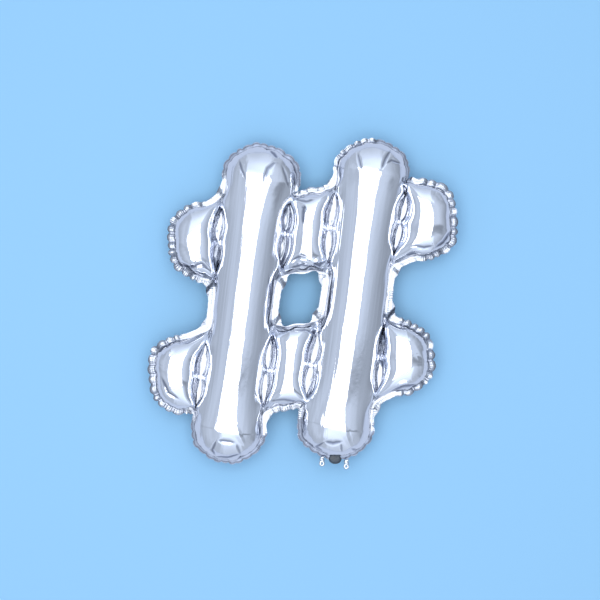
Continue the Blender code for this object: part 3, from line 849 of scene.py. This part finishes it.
def spread_flange(flat, faces, seam, place, is_tip_pleated):
    """Lays a flange out from its seam, flat beside straight seams and pleated round the tips."""
    points = np.unique(faces)
    first, share, gap, distance = seam.nearest(flat[points])
    turn = seam.value(seam.turn, first, share)
    gap = np.stack([gap[:, 0] * np.cos(turn) - gap[:, 1] * np.sin(turn),
                    gap[:, 0] * np.sin(turn) + gap[:, 1] * np.cos(turn)], 1)
    number, through = seam.pleat(seam.along(first, share))
    if is_tip_pleated:
        tips = seam.value(seam.tips, first, share)
    else:
        tips = np.full(len(points), STRAIGHT_PLEATS)
    tips = np.maximum(tips, LINK_PLEATS * at_link_ends(flat[points]))
    hump = np.sin(math.pi * through) ** HUMP_SHARPNESS
    out = np.sin(math.pi * np.clip(distance / PLEAT_FADE, 0, 1)) ** LIFT_SHARPNESS
    at_ends = at_bar_ends(flat[points])
    size = seam.sizes[number] * (LEAST_PLEAT + (1 - LEAST_PLEAT) * tips)
    stretch = 1 + PLEAT_STRETCH * size * (hump - HUMP_MEAN)
    base = seam.value(seam.place, first, share)
    lift = PLEAT_LIFT * size * seam.signs[number] * hump * out * (1 - END_CALM * at_ends)
    lift -= END_DROOP * at_ends * distance
    on_seam = distance < 1e-7
    plan = base[:, :2] + gap * np.where(on_seam, 1, stretch)[:, None]
    moved = np.column_stack([plan, base[:, 2] + lift])
    place[points] = np.where(on_seam[:, None], place[points], moved)
    # where the pleats pinch: a mask for the shade painted there
    pinch = np.zeros(len(place))
    pinch[points] = tips * (1 - hump) * (1 - at_ends)
    calm = np.zeros(len(place))
    calm[points] = ~on_seam * (1 - tips)
    edges = edges_of(faces)
    place[:] = soften(place, edges, np.ones(len(edges)), calm, FLANGE_SMOOTHING)
    return pinch


def line_share(flat):
    """How strong the lengthwise lines are at each flat point: strongest on the bars' left sides."""
    share = np.full(len(flat), FAINT_LINES)
    for bar in BARS:
        _, across = bar_coordinates(flat, bar)
        for outward, (start, strength) in zip((-across, across), LINES):
            on_side = strength * smooth_step((outward - start) / LINES_FADE) * (outward < LINES_END)
            share = np.maximum(share, on_side)
    return share


def seam_map(place, flat, rings, dice):
    """How far along its nearest seam each point is, and how far from it, in the UV map's units."""
    owners = [name for name, ring in rings.items() for _ in ring]
    tree = near(flat[np.concatenate(list(rings.values()))])
    owner = np.array([owners[tree.find((point[0], point[1], 0))[1]] for point in flat])
    values = np.zeros((len(flat), 2))
    for name, ring in rings.items():
        seam = Seam(place, flat, ring, dice)
        mine = owner == name
        first, share, _, distance = seam.nearest(flat[mine])
        values[mine] = np.stack([seam.along(first, share), distance], 1) / SEAM_MAP
    return values


def pucker_films(place, flat, side, parts, seam):
    """Short radial creases where the film gathers at the seams round the tips."""
    for name, sign in (("front", 1), ("back", -1)):
        faces = parts[name]
        points = np.unique(faces)
        points = points[side[points] == sign]
        normals = normals_of(place, faces)[points]
        first, share, _, distance = seam.nearest(flat[points])
        number, through = seam.pleat(seam.along(first, share))
        tips = seam.value(seam.tips, first, share)
        pinch = (1 - np.sin(math.pi * through)) ** 2
        depth = FILM_PUCKER_DEPTH * seam.sizes[number] * tips * pinch
        depth *= np.exp(-distance / FILM_PUCKER_REACH) * smooth_step(distance / FILM_PUCKER_START)
        place[points] -= normals * depth[:, None]


def photo_pixels(place):
    """Where the photo's camera sees each point, in the photo's pixels."""
    offset = place - MIDDLE
    nearer = CAMERA_DISTANCE / (CAMERA_DISTANCE - offset[:, 2]) / (PHOTO_WIDTH / PHOTO_SIZE)
    cos, sin = math.cos(CAMERA_TURN), math.sin(CAMERA_TURN)
    right = offset[:, 0] * cos + offset[:, 1] * sin
    up = offset[:, 1] * cos - offset[:, 0] * sin
    return np.stack([PHOTO_SIZE / 2 + right * nearer, PHOTO_SIZE / 2 - up * nearer], 1)


def line_distance(points, line):
    """Each point's distance from a line of several pieces, and how far along it that is, from 0 to 1."""
    line = np.array(line, float)
    lengths = np.linalg.norm(np.diff(line, axis=0), axis=1)
    best, where = np.full(len(points), 1e9), np.zeros(len(points))
    for index, (start, end) in enumerate(zip(line, line[1:])):
        share = np.clip((points - start) @ (end - start) / lengths[index] ** 2, 0, 1)
        distance = np.linalg.norm(points - start - share[:, None] * (end - start), axis=1)
        closer = distance < best
        best[closer] = distance[closer]
        where[closer] = (lengths[:index].sum() + share[closer] * lengths[index]) / lengths.sum()
    return best, where


def press_creases(place, side, parts):
    """Folds the front film along the lines of the table, and says how dark the shade painted along them
    makes each point.
    """
    seen = photo_pixels(place)
    normals = normals_of(place, parts["front"])
    shade = np.zeros(len(place))
    for depth, darkness, half_width, line in CREASES:
        distance, where = line_distance(seen, line)
        taper = smooth_step(np.minimum(where, 1 - where) / CREASE_TAPER)
        reach = half_width * (CREASE_END + (1 - CREASE_END) * taper)
        amount = np.maximum(0, 1 - distance / reach) * (side == 1)
        place -= normals * (depth * amount * taper)[:, None]
        gain, loss = CREASE_SHADE
        line_shade = np.clip(gain * amount - loss, 0, 1) * np.clip(2 * taper, 0, 1)
        shade = np.maximum(shade, darkness * line_shade)
    return shade


def weld_distance(flat, rings):
    """How far each flat point is from the nearest point of a weld's edge."""
    tree = near(np.concatenate([flat[ring] for name, ring in rings.items() if name.endswith("weld")]))
    return np.array([tree.find((point[0], point[1], 0))[2] for point in flat])


def raise_weld_rims(place, flat, side, parts, rings):
    """A shallow valley and a raised rim in both films round every weld."""
    distance = weld_distance(flat, rings)
    rim = np.exp(-((distance - WELD_RIM_AT) / WELD_RIM_REACH) ** 2)
    rim -= WELD_VALLEY * np.exp(-((distance - WELD_VALLEY_AT) / WELD_VALLEY_REACH) ** 2)
    for name, sign in (("front", 1), ("back", -1)):
        normals = normals_of(place, parts[name])
        chosen = side == sign
        place[chosen] += normals[chosen] * (WELD_RIM * rim[chosen])[:, None]


def is_detailed(place, flat, rings):
    """Which points lie near a weld or a crease."""
    chosen = weld_distance(flat, rings) < WELD_SURROUNDINGS
    seen = photo_pixels(place)
    for _, _, half_width, line in CREASES:
        chosen |= line_distance(seen, line)[0] < half_width + CREASE_MARGIN
    return chosen


def refine_where(place, flat, side, parts, wanted):
    """Halves the front film's edges between wanted points, and splits its triangles to match."""
    faces = parts["front"]
    edges = edges_of(faces)
    one, two = edges[(wanted[edges] & (side[edges] == 1)).all(1)].T
    middle = curve_middles(place, one, two, normals_of(place, faces))
    count = len(place)
    key = one.astype(np.int64) * count + two

    def between(first, second):
        """The number of the new point on each edge, or -1."""
        sought = np.minimum(first, second).astype(np.int64) * count + np.maximum(first, second)
        slot = np.minimum(np.searchsorted(key, sought), len(key) - 1)
        return np.where(key[slot] == sought, count + slot, -1)

    mids = np.stack([between(faces[:, corner], faces[:, (corner + 1) % 3]) for corner in range(3)], 1)
    is_split = mids >= 0
    splits = is_split.sum(1)
    new = [faces[splits == 0]] + quarters(*faces[splits == 3].T, *mids[splits == 3].T)
    for turn in range(3):
        order = [turn, (turn + 1) % 3, (turn + 2) % 3]
        here = is_split[:, order]
        a, b, c = faces[(splits == 1) & here[:, 0]][:, order].T
        ab = mids[(splits == 1) & here[:, 0]][:, turn]
        new += [np.stack((a, ab, c), 1), np.stack((ab, b, c), 1)]
        chosen = (splits == 2) & ~here[:, 2]
        a, b, c = faces[chosen][:, order].T
        ab, bc = mids[chosen][:, order[:2]].T
        new += [np.stack(three, 1) for three in ((ab, b, bc), (a, ab, bc), (a, bc, c))]
    return (np.concatenate([place, middle]), np.concatenate([flat, (flat[one] + flat[two]) / 2]),
            np.concatenate([side, np.ones(len(one), int)]), parts | {"front": np.concatenate(new)})


def chamber_films(middles):
    """Which of the film's triangles are each chamber's. Neighbours meet between the welds."""
    films = {}
    for bar, (side, _, _) in BARS.items():
        outward = side * bar_coordinates(middles, bar)[1]
        is_arm = outward >= WELD_FROM_AXIS["outer"]
        films[f"{bar}_bar"] = ~is_arm & (outward > -WELD_FROM_AXIS["inner"])
        for row, row_side in ROWS.items():
            films[f"{row}_{bar}_arm"] = is_arm & (middles[:, 1] * row_side > 0)
    is_link = ~np.any(list(films.values()), axis=0)
    for row, row_side in ROWS.items():
        films[f"{row}_link"] = is_link & (middles[:, 1] * row_side > 0)
    return films


def select_only(piece):
    bpy.ops.object.select_all(action="DESELECT")
    piece.select_set(True)
    bpy.context.view_layer.objects.active = piece


def film_piece(name, place, faces, maps, material, nodes, thickness=None):
    """Makes an object from some of the faces. A thickness makes a sheet a closed shell."""
    used, numbered = np.unique(faces, return_inverse=True)
    faces = numbered.reshape(faces.shape)
    mesh = bpy.data.meshes.new(name)
    mesh.from_pydata(place[used].tolist(), [], faces.tolist())
    for label, values in maps.items():
        layer = mesh.uv_layers.new(name=label)
        layer.data.foreach_set("uv", values[used][faces.ravel()].astype(np.float32).ravel())
    piece = bpy.data.objects.new(name, mesh)
    bpy.context.scene.collection.objects.link(piece)
    mesh.materials.append(material)
    mesh.shade_smooth()
    if thickness:
        select_only(piece)
        shell = piece.modifiers.new("Solidify", "SOLIDIFY")
        shell.thickness = thickness
        shell.offset = -1
        bpy.ops.object.modifier_apply(modifier=shell.name)
    piece.data.set_sharp_from_angle(angle=SHARP_ANGLE)
    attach(piece, "root")
    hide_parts(*nodes)
    return piece


def leaf(place, faces, half_thickness):
    """A closed leaf: the inner points are doubled and parted, and the rim stays one line."""
    used = np.unique(faces)
    directed = np.concatenate([faces[:, [0, 1]], faces[:, [1, 2]], faces[:, [2, 0]]])
    pairs, counts = np.unique(np.sort(directed, 1), axis=0, return_counts=True)
    rim = np.zeros(len(place), bool)
    rim[pairs[counts == 1]] = True
    normals = normals_of(place, faces)
    inner = used[~rim[used]]
    under = np.arange(len(place))
    under[inner] = len(place) + np.arange(len(inner))
    shift = normals[inner] * half_thickness[inner, None]
    both = np.concatenate([place, place[inner] - shift])
    both[inner] += shift
    return both, np.concatenate([faces, under[faces][:, ::-1]]), inner


def sealed_piece(name, place, faces, half_thickness, maps, material, node):
    points, closed, inner = leaf(place, faces, half_thickness)
    maps = {label: np.concatenate([values, values[inner]]) for label, values in maps.items()}
    film_piece(name, points, closed, maps, material, [node])


# Materials

def new_group(name, inputs, outputs):
    group = bpy.data.node_groups.new(name, "ShaderNodeTree")
    for label, kind, value in inputs:
        socket = group.interface.new_socket(label, in_out="INPUT", socket_type=kind)
        if value is not None:
            socket.default_value = value
    for label, kind in outputs:
        group.interface.new_socket(label, in_out="OUTPUT", socket_type=kind)
    return group, group.nodes.new("NodeGroupInput"), group.nodes.new("NodeGroupOutput")


def math_node(tree, operation, first, second=None):
    node = tree.nodes.new("ShaderNodeMath")
    node.operation = operation
    for socket, value in zip(node.inputs, (first, second)):
        if isinstance(value, (int, float)):
            socket.default_value = value
        elif value is not None:
            tree.links.new(value, socket)
    return node.outputs[0]


def mix_colours(tree, share, first, second):
    node = tree.nodes.new("ShaderNodeMix")
    node.data_type = "RGBA"
    for name, value in (("A_Color", first), ("B_Color", second)):
        socket = next(each for each in node.inputs if each.identifier == name)
        if isinstance(value, tuple):
            socket.default_value = value
        else:
            tree.links.new(value, socket)
    tree.links.new(share, node.inputs["Factor"])
    return next(each for each in node.outputs if each.identifier == "Result_Color")


def ramp_node(tree, share, tones, tint=(1, 1, 1)):
    ramp = tree.nodes.new("ShaderNodeValToRGB")
    tree.links.new(share, ramp.inputs["Fac"])
    elements = ramp.color_ramp.elements
    elements[0].position, elements[1].position = tones[0][0], tones[-1][0]
    for position, _ in tones[1:-1]:
        elements.new(position)
    for element, (_, tone) in zip(elements, tones):
        element.color = tuple(tone * channel for channel in tint) + (1,)
    return ramp.outputs["Color"]


def noise_node(tree, vector, scale, detail=2.0, stretch=1.0):
    """Noise that may be drawn out along the bars."""
    mapping = tree.nodes.new("ShaderNodeMapping")
    mapping.vector_type = "TEXTURE"
    mapping.inputs["Rotation"].default_value = (0, 0, -SLANT)
    mapping.inputs["Scale"].default_value = (1, stretch, 1)
    tree.links.new(vector, mapping.inputs["Vector"])
    noise = tree.nodes.new("ShaderNodeTexNoise")
    noise.inputs["Scale"].default_value = scale
    noise.inputs["Detail"].default_value = detail
    tree.links.new(mapping.outputs["Vector"], noise.inputs["Vector"])
    return noise.outputs["Fac"]


def fine_creases():
    """Heights of lengthwise draw lines, tiny dents, and rows of beads beside the seams, in metres."""
    group, given, result = new_group(
        "fine_creases",
        (("Vector", "NodeSocketVector", None), ("Seam", "NodeSocketVector", None),
         ("Line Share", "NodeSocketFloat", 1.0),
         ("Draw Lines", "NodeSocketFloat", 0.5), ("Dents", "NodeSocketFloat", 0.5),
         ("Beads", "NodeSocketFloat", 0.5)),
        (("Height", "NodeSocketFloat"), ("Ticks", "NodeSocketFloat")))
    lines = noise_node(group, given.outputs["Vector"], *DRAW_LINE_NOISE)
    dents = noise_node(group, given.outputs["Vector"], *DENT_NOISE)
    seam = group.nodes.new("ShaderNodeSeparateXYZ")
    group.links.new(given.outputs["Seam"], seam.inputs["Vector"])
    wave = math_node(group, "MULTIPLY", seam.outputs["X"], math.tau * SEAM_MAP / BEAD_PITCH)
    wave = math_node(group, "SINE", wave)
    from_row = math_node(group, "SUBTRACT", seam.outputs["Y"], BEAD_ROW / SEAM_MAP)
    from_row = math_node(group, "ABSOLUTE", from_row)
    in_row = math_node(group, "DIVIDE", from_row, BEAD_ROW / SEAM_MAP)
    in_row = math_node(group, "SUBTRACT", 1.0, in_row)
    patches = noise_node(group, given.outputs["Vector"], *PATCH_NOISE)
    in_patch = math_node(group, "SUBTRACT", patches, PATCH_FROM)
    in_patch = math_node(group, "MULTIPLY", in_patch, PATCH_GAIN)
    for node in (in_row.node, in_patch.node):
        node.use_clamp = True
    beads = math_node(group, "MULTIPLY", wave, math_node(group, "MULTIPLY", in_row, in_patch))
    height = math_node(group, "MULTIPLY", lines, given.outputs["Draw Lines"])
    height = math_node(group, "MULTIPLY", height, given.outputs["Line Share"])
    for relief, amount in ((dents, "Dents"), (beads, "Beads")):
        relief = math_node(group, "MULTIPLY", relief, given.outputs[amount])
        height = math_node(group, "ADD", height, relief)
    group.links.new(height, result.inputs["Height"])
    # painted shade: dark ticks on one half of each bead's wave, in the bead row
    ticks = math_node(group, "MULTIPLY", math_node(group, "MAXIMUM", wave, 0.0), in_row)
    group.links.new(ticks, result.inputs["Ticks"])
    return group


def uv_parts(tree, label):
    """A UV map's output, and its X and Y."""
    layer = tree.nodes.new("ShaderNodeUVMap")
    layer.uv_map = label
    split = tree.nodes.new("ShaderNodeSeparateXYZ")
    tree.links.new(layer.outputs["UV"], split.inputs["Vector"])
    return layer.outputs["UV"], split.outputs["X"], split.outputs["Y"]


def foil_material(name, colour, creases, roughness, seam_shade_tones, seam_shade_colour=PAINTED_SHADE_COLOUR,
                  painted_light_colours=(None, None), draw_lines=0.0, dents=0.0, beads=0.0):
    """Foil with painted shade in lines beside its seams and in ticks near the welds, and the painted
    light colours by the two masks.
    """
    material = bpy.data.materials.new(name)
    material.use_nodes = True
    tree = material.node_tree
    shader = tree.nodes["Principled BSDF"]
    shader.inputs["Metallic"].default_value = 1.0
    shader.inputs["Roughness"].default_value = roughness
    place = tree.nodes.new("ShaderNodeTexCoord")
    group = tree.nodes.new("ShaderNodeGroup")
    group.node_tree = creases
    tree.links.new(place.outputs["Object"], group.inputs["Vector"])
    seam, _, from_seam = uv_parts(tree, "seam")
    masks = uv_parts(tree, "masks")[1:]
    by_welds = uv_parts(tree, "welds")[1]
    tree.links.new(seam, group.inputs["Seam"])
    tree.links.new(masks[1], group.inputs["Line Share"])
    group.inputs["Draw Lines"].default_value = draw_lines
    group.inputs["Dents"].default_value = dents
    group.inputs["Beads"].default_value = beads
    bump = tree.nodes.new("ShaderNodeBump")
    bump.inputs["Strength"].default_value = 1.0
    bump.inputs["Distance"].default_value = 1.0
    tree.links.new(group.outputs["Height"], bump.inputs["Height"])
    tree.links.new(bump.outputs["Normal"], shader.inputs["Normal"])
    darker = tuple(channel * CLOUD_TONE for channel in colour[:3]) + (1,)
    tone = mix_colours(tree, noise_node(tree, place.outputs["Object"], CLOUD_NOISE), darker, colour)
    for mask, mask_colour in zip(masks, painted_light_colours):
        if mask_colour:
            tone = mix_colours(tree, mask, tone, mask_colour)
    # painted shade: dark lines by the distance from the nearest seam, wandering a little
    wander = math_node(tree, "MULTIPLY", noise_node(tree, place.outputs["Object"], WANDER_NOISE), WANDER)
    away = math_node(tree, "SUBTRACT", from_seam, WANDER / 2)
    away = math_node(tree, "ADD", away, wander)
    in_centimetres = math_node(tree, "MULTIPLY", away, 100 * SEAM_MAP)
    shade = math_node(tree, "SUBTRACT", 1.0, ramp_node(tree, in_centimetres, seam_shade_tones))
    # and painted shade ticks near the welds
    ticks = math_node(tree, "MULTIPLY", group.outputs["Ticks"], by_welds)
    ticks = math_node(tree, "MULTIPLY", ticks, TICK_SHADE)
    shade = math_node(tree, "MAXIMUM", shade, ticks)
    tone = mix_colours(tree, shade, tone, seam_shade_colour)
    tree.links.new(tone, shader.inputs["Base Color"])
    return material


# Tabs and valve

def shaped(scale, turn=0.0):
    """Scales and turns the new object's mesh and puts its place into the mesh too."""
    piece = bpy.context.object
    piece.scale = scale
    piece.rotation_euler = (0, 0, turn)
    select_only(piece)
    bpy.ops.object.transform_apply(location=True, rotation=True, scale=True)
    return piece


def joined(name, pieces, material, node):
    select_only(pieces[0])
    for piece in pieces[1:]:
        piece.select_set(True)
    bpy.ops.object.join()
    piece = bpy.context.object
    piece.name = piece.data.name = name
    piece.data.materials.clear()
    piece.data.materials.append(material)
    bpy.ops.object.shade_smooth()
    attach(piece, "root")
    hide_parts(node)


def hanging_tab(side_name, material):
    """A puckered strip that ends in a flattened eyelet."""
    node = f"{side_name}_hanging_tab"
    low, high = (Vector(corner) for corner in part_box(node))
    x = (low.x + high.x) / 2 + TAB_SHIFT[0]
    y = low.y + TAB_RING + TAB_RIM + TAB_SHIFT[1]
    z = (low.z + high.z) / 2
    bpy.ops.mesh.primitive_torus_add(
        location=(x, y, z), major_radius=TAB_RING, minor_radius=TAB_RIM,
        major_segments=36, minor_segments=12)
    pieces = [shaped((1, 1, TAB_FLATNESS))]
    for step in range(TAB_FOLDS):
        at = y + TAB_RING + TAB_RIM * TAB_OVERLAP + step * TAB_FOLD_PITCH
        bpy.ops.mesh.primitive_uv_sphere_add(
            segments=24, ring_count=12, radius=1.0, location=(x + TAB_FOLD_DRIFT * step, at, z))
        pieces.append(shaped(TAB_FOLD_SIZE, TAB_FOLD_TURN * (-1) ** step))
    joined(f"{side_name}_tab_eyelet", pieces, material, node)


def valve():
    """The dark mouth of the flat filling sleeve, with its creased lip."""
    low, high = (Vector(corner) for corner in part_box("fill_valve"))
    x = (low.x + high.x) / 2
    y, z = (low.y + high.y) / 2 + VALVE_SHIFT[0], high.z + VALVE_SHIFT[1]
    bpy.ops.mesh.primitive_uv_sphere_add(segments=48, ring_count=24, radius=1.0, location=(x, y, z))
    pieces = [shaped(VALVE_MOUTH, VALVE_TURN)]
    bpy.ops.mesh.primitive_torus_add(
        location=(x, y + VALVE_LIP_SHIFT[0], z + VALVE_LIP_SHIFT[1]),
        major_radius=VALVE_LIP[0], minor_radius=VALVE_LIP[1], major_segments=48, minor_segments=10)
    pieces.append(shaped(VALVE_LIP_SCALE, VALVE_TURN))
    joined("valve_mouth", pieces, valve_film(), "fill_valve")


def valve_film():
    material = bpy.data.materials.new("valve_film")
    material.use_nodes = True
    tree = material.node_tree
    shader = tree.nodes["Principled BSDF"]
    shader.inputs["Roughness"].default_value = 0.28
    place = tree.nodes.new("ShaderNodeTexCoord").outputs["Object"]
    lighter = tuple(channel * 3 for channel in VALVE_COLOUR[:3]) + (1,)
    tone = mix_colours(tree, noise_node(tree, place, VALVE_GRAIN), VALVE_COLOUR, lighter)
    tree.links.new(tone, shader.inputs["Base Color"])
    bump = tree.nodes.new("ShaderNodeBump")
    bump.inputs["Strength"].default_value = 1.0
    bump.inputs["Distance"].default_value = 0.0006
    tree.links.new(noise_node(tree, place, VALVE_CRINKLES), bump.inputs["Height"])
    tree.links.new(bump.outputs["Normal"], shader.inputs["Normal"])
    return material


# Studio

def range_node(tree, value, start, end):
    """Smoothly from 0 to 1 between two values."""
    node = tree.nodes.new("ShaderNodeMapRange")
    node.interpolation_type = "SMOOTHSTEP"
    tree.links.new(value, node.inputs["Value"])
    node.inputs["From Min"].default_value = start
    node.inputs["From Max"].default_value = end
    return node.outputs["Result"]


def soft_box():
    light = bpy.data.lights.new("soft_box", "AREA")
    light.shape = "RECTANGLE"
    light.size, light.size_y = SOFT_BOX
    light.energy = SOFT_BOX_POWER
    lamp = bpy.data.objects.new("soft_box", light)
    lamp.location = (MIDDLE[0] + SOFT_BOX_SHIFT, 0, SOFT_BOX_HEIGHT)
    bpy.context.scene.collection.objects.link(lamp)


def backdrop(height):
    bpy.ops.object.select_all(action="DESELECT")
    bpy.ops.mesh.primitive_plane_add(size=8, location=(0, 0, height))
    floor = bpy.context.object
    floor.name = "backdrop"
    paper = bpy.data.materials.new("backdrop_paper")
    paper.use_nodes = True
    tree = paper.node_tree
    shader = tree.nodes["Principled BSDF"]
    shader.inputs["Roughness"].default_value = 0.9
    ray = tree.nodes.new("ShaderNodeLightPath")
    tint = mix_colours(tree, ray.outputs["Is Camera Ray"], BACKDROP_BOUNCE, BACKDROP_COLOUR)
    tree.links.new(tint, shader.inputs["Base Color"])
    floor.data.materials.append(paper)


def sky():
    """The room that the film mirrors, as tones by direction."""
    world = bpy.data.worlds.new("studio")
    bpy.context.scene.world = world
    world.use_nodes = True
    tree = world.node_tree
    direction = tree.nodes.new("ShaderNodeTexCoord").outputs["Generated"]
    split = tree.nodes.new("ShaderNodeSeparateXYZ")
    tree.links.new(direction, split.inputs["Vector"])
    turn = math_node(tree, "ARCTAN2", split.outputs["X"], split.outputs["Z"])
    turn = math_node(tree, "ADD", math_node(tree, "DIVIDE", turn, math.tau), 0.5)
    lengthwise = tree.nodes.new("ShaderNodeVectorMath")
    lengthwise.operation = "DOT_PRODUCT"
    tree.links.new(direction, lengthwise.inputs[0])
    lengthwise.inputs[1].default_value = (*ALONG, 0)
    lower = math_node(tree, "MULTIPLY",
                      range_node(tree, lengthwise.outputs["Value"], *LOWER_SKY_FROM),
                      range_node(tree, lengthwise.outputs["Value"], *LOWER_SKY_UP_TO))
    tones = mix_colours(tree, lower, ramp_node(tree, turn, SKY_BY_TURN, SKY_TINT),
                        ramp_node(tree, turn, LOWER_SKY_BY_TURN, SKY_TINT))
    endwise = math_node(tree, "ABSOLUTE", split.outputs["Y"])
    tones = mix_colours(tree, range_node(tree, endwise, *ENDS_FROM), tones, SKY_BESIDE_ENDS)
    sideways = math_node(tree, "SUBTRACT", split.outputs["X"], GLOW_MIDDLE)
    sideways = math_node(tree, "ABSOLUTE", sideways)
    glow = math_node(tree, "MULTIPLY", range_node(tree, sideways, *GLOW_HALF_WIDTH),
                     range_node(tree, endwise, *GLOW_FROM))
    tones = mix_colours(tree, glow, tones, ramp_node(tree, endwise, SKY_AT_ENDS, SKY_TINT))
    tree.links.new(tones, tree.nodes["Background"].inputs["Color"])


def camera_above():
    camera = bpy.data.cameras.new("camera")
    camera.lens = LENS
    camera.sensor_width = SENSOR_WIDTH
    eye = bpy.data.objects.new("camera", camera)
    eye.location = (MIDDLE[0], MIDDLE[1], MIDDLE[2] + CAMERA_DISTANCE)
    eye.rotation_euler = (0, 0, CAMERA_TURN)
    bpy.context.scene.collection.objects.link(eye)
    bpy.context.scene.camera = eye


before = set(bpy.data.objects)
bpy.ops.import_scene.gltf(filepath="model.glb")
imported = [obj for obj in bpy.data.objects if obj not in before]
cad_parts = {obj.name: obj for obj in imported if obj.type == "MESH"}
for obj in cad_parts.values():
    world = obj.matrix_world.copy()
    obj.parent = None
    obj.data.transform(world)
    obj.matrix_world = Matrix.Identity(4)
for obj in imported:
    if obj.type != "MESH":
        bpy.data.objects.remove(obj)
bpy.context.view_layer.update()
low, high = (np.array(corner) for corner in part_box("window_seam_flange"))
MIDDLE = (low + high) / 2

# The blown film
flat, side, parts, rings = cut_pattern()
place = blow_up(flat, side, parts)
settle(place)
place = draw_out(place, flat, side, parts, rings)
place, flat, side, parts, rings = refine(place, flat, side, parts, rings)
film_edges = edges_of(np.concatenate([parts["front"], parts["back"]]))
place = soften(place, film_edges, np.ones(len(film_edges)), side != 0, FINE_SMOOTHING)
place += MIDDLE
place, flat, side, parts = refine_where(place, flat, side, parts, is_detailed(place, flat, rings))

dice = random.Random(5)
seams = {name: Seam(place, flat, rings[name], dice) for name in ("outer", "window")}
raise_weld_rims(place, flat, side, parts, rings)
# the creases' folds, and the darkness of the shade painted along them
shade = press_creases(place, side, parts)
pucker_films(place, flat, side, parts, seams["outer"])
pinch = spread_flange(flat, parts["outer_flange"], seams["outer"], place, is_tip_pleated=True)
spread_flange(flat, parts["window_flange"], seams["window"], place, is_tip_pleated=False)

creases = fine_creases()
foil = foil_material(
    "foil", FILM_COLOUR, creases, roughness=0.08, seam_shade_tones=FILM_SEAM_SHADE_TONES,
    painted_light_colours=(PAINTED_SHADE_COLOUR, None), draw_lines=0.00035, dents=0.00002, beads=0.00006)
# on the flanges the first mask paints a reflection round the bars' ends, the second paints shade where
# the pleats pinch
sealed_foil = foil_material(
    "sealed_foil", SEALED_COLOUR, creases, roughness=0.24, seam_shade_tones=SEALED_SEAM_SHADE_TONES,
    seam_shade_colour=SEALED_PAINTED_SHADE_COLOUR, painted_light_colours=(END_FLANGE_REFLECTION_COLOUR, PAINTED_SHADE_COLOUR),
    draw_lines=0.00002, dents=0.00070, beads=0.00010)
weld_foil = foil_material(
    "weld_foil", WELD_COLOUR, creases, roughness=0.20, seam_shade_tones=WELD_EDGE_SHADE_TONES, dents=0.00020)
tab_foil = foil_material(
    "tab_foil", TAB_COLOUR, creases, roughness=0.22, seam_shade_tones=TAB_TONES, dents=0.0011)

seam_places = seam_map(place, flat, rings, dice)
# where the painted shade ticks show round the welds
by_welds = smooth_step((WELD_SURROUNDINGS - weld_distance(flat, rings)) / TICK_FADE)
# masks: the creases' painted shade, and the share of the draw lines
film_maps = {"seam": seam_places, "masks": np.stack([shade, line_share(flat)], 1),
             "welds": np.stack([by_welds, by_welds], 1)}
# masks: the painted reflection round the bars' ends, and painted shade where the pleats pinch
sealed_maps = {"seam": seam_places, "masks": np.stack([at_bar_ends(flat), PINCH_SHADE * pinch], 1),
               "welds": np.zeros((len(flat), 2))}
bar_necks = {f"{bar}_bar": [f"{row}_{bar}_{neck}_neck" for row in ROWS for neck in ("outer", "inner")]
             for bar in BARS}
for face_side in ("front", "back"):
    for chamber, chosen in chamber_films(flat[parts[face_side]].mean(1)).items():
        nodes = [f"{chamber}_{face_side}"]
        if face_side == "front":
            nodes += bar_necks.get(chamber, [])
        film = film_piece(f"{chamber}_{face_side}_film", place, parts[face_side][chosen], film_maps,
                          foil, nodes, thickness=FILM_THICKNESS)

# The sealed sheets
even = np.full(len(place), SEALED_THICKNESS / 2)
for name in ("outer", "window"):
    sealed_piece(f"{name}_flange", place, parts[f"{name}_flange"], even, sealed_maps, sealed_foil,
                 f"{name}_seam_flange")
for name, ring in rings.items():
    if name.endswith("weld"):
        weld = Seam(place, flat, ring, dice)
        pillow = even.copy()
        points = np.unique(parts[name])
        distance = weld.nearest(flat[points])[3]
        start, end = WELD_PILLOW_AT
        pillow[points] += WELD_PILLOW * smooth_step((distance - start) / (end - start))
        sealed_piece(f"{name}_lens", place, parts[name], pillow, sealed_maps, weld_foil, name)

for side_name in BARS:
    hanging_tab(side_name, tab_foil)
valve()

bpy.context.scene.view_settings.view_transform = "Standard"
soft_box()
backdrop(place[:, 2].min() - FLOOR_GAP)
sky()
camera_above()
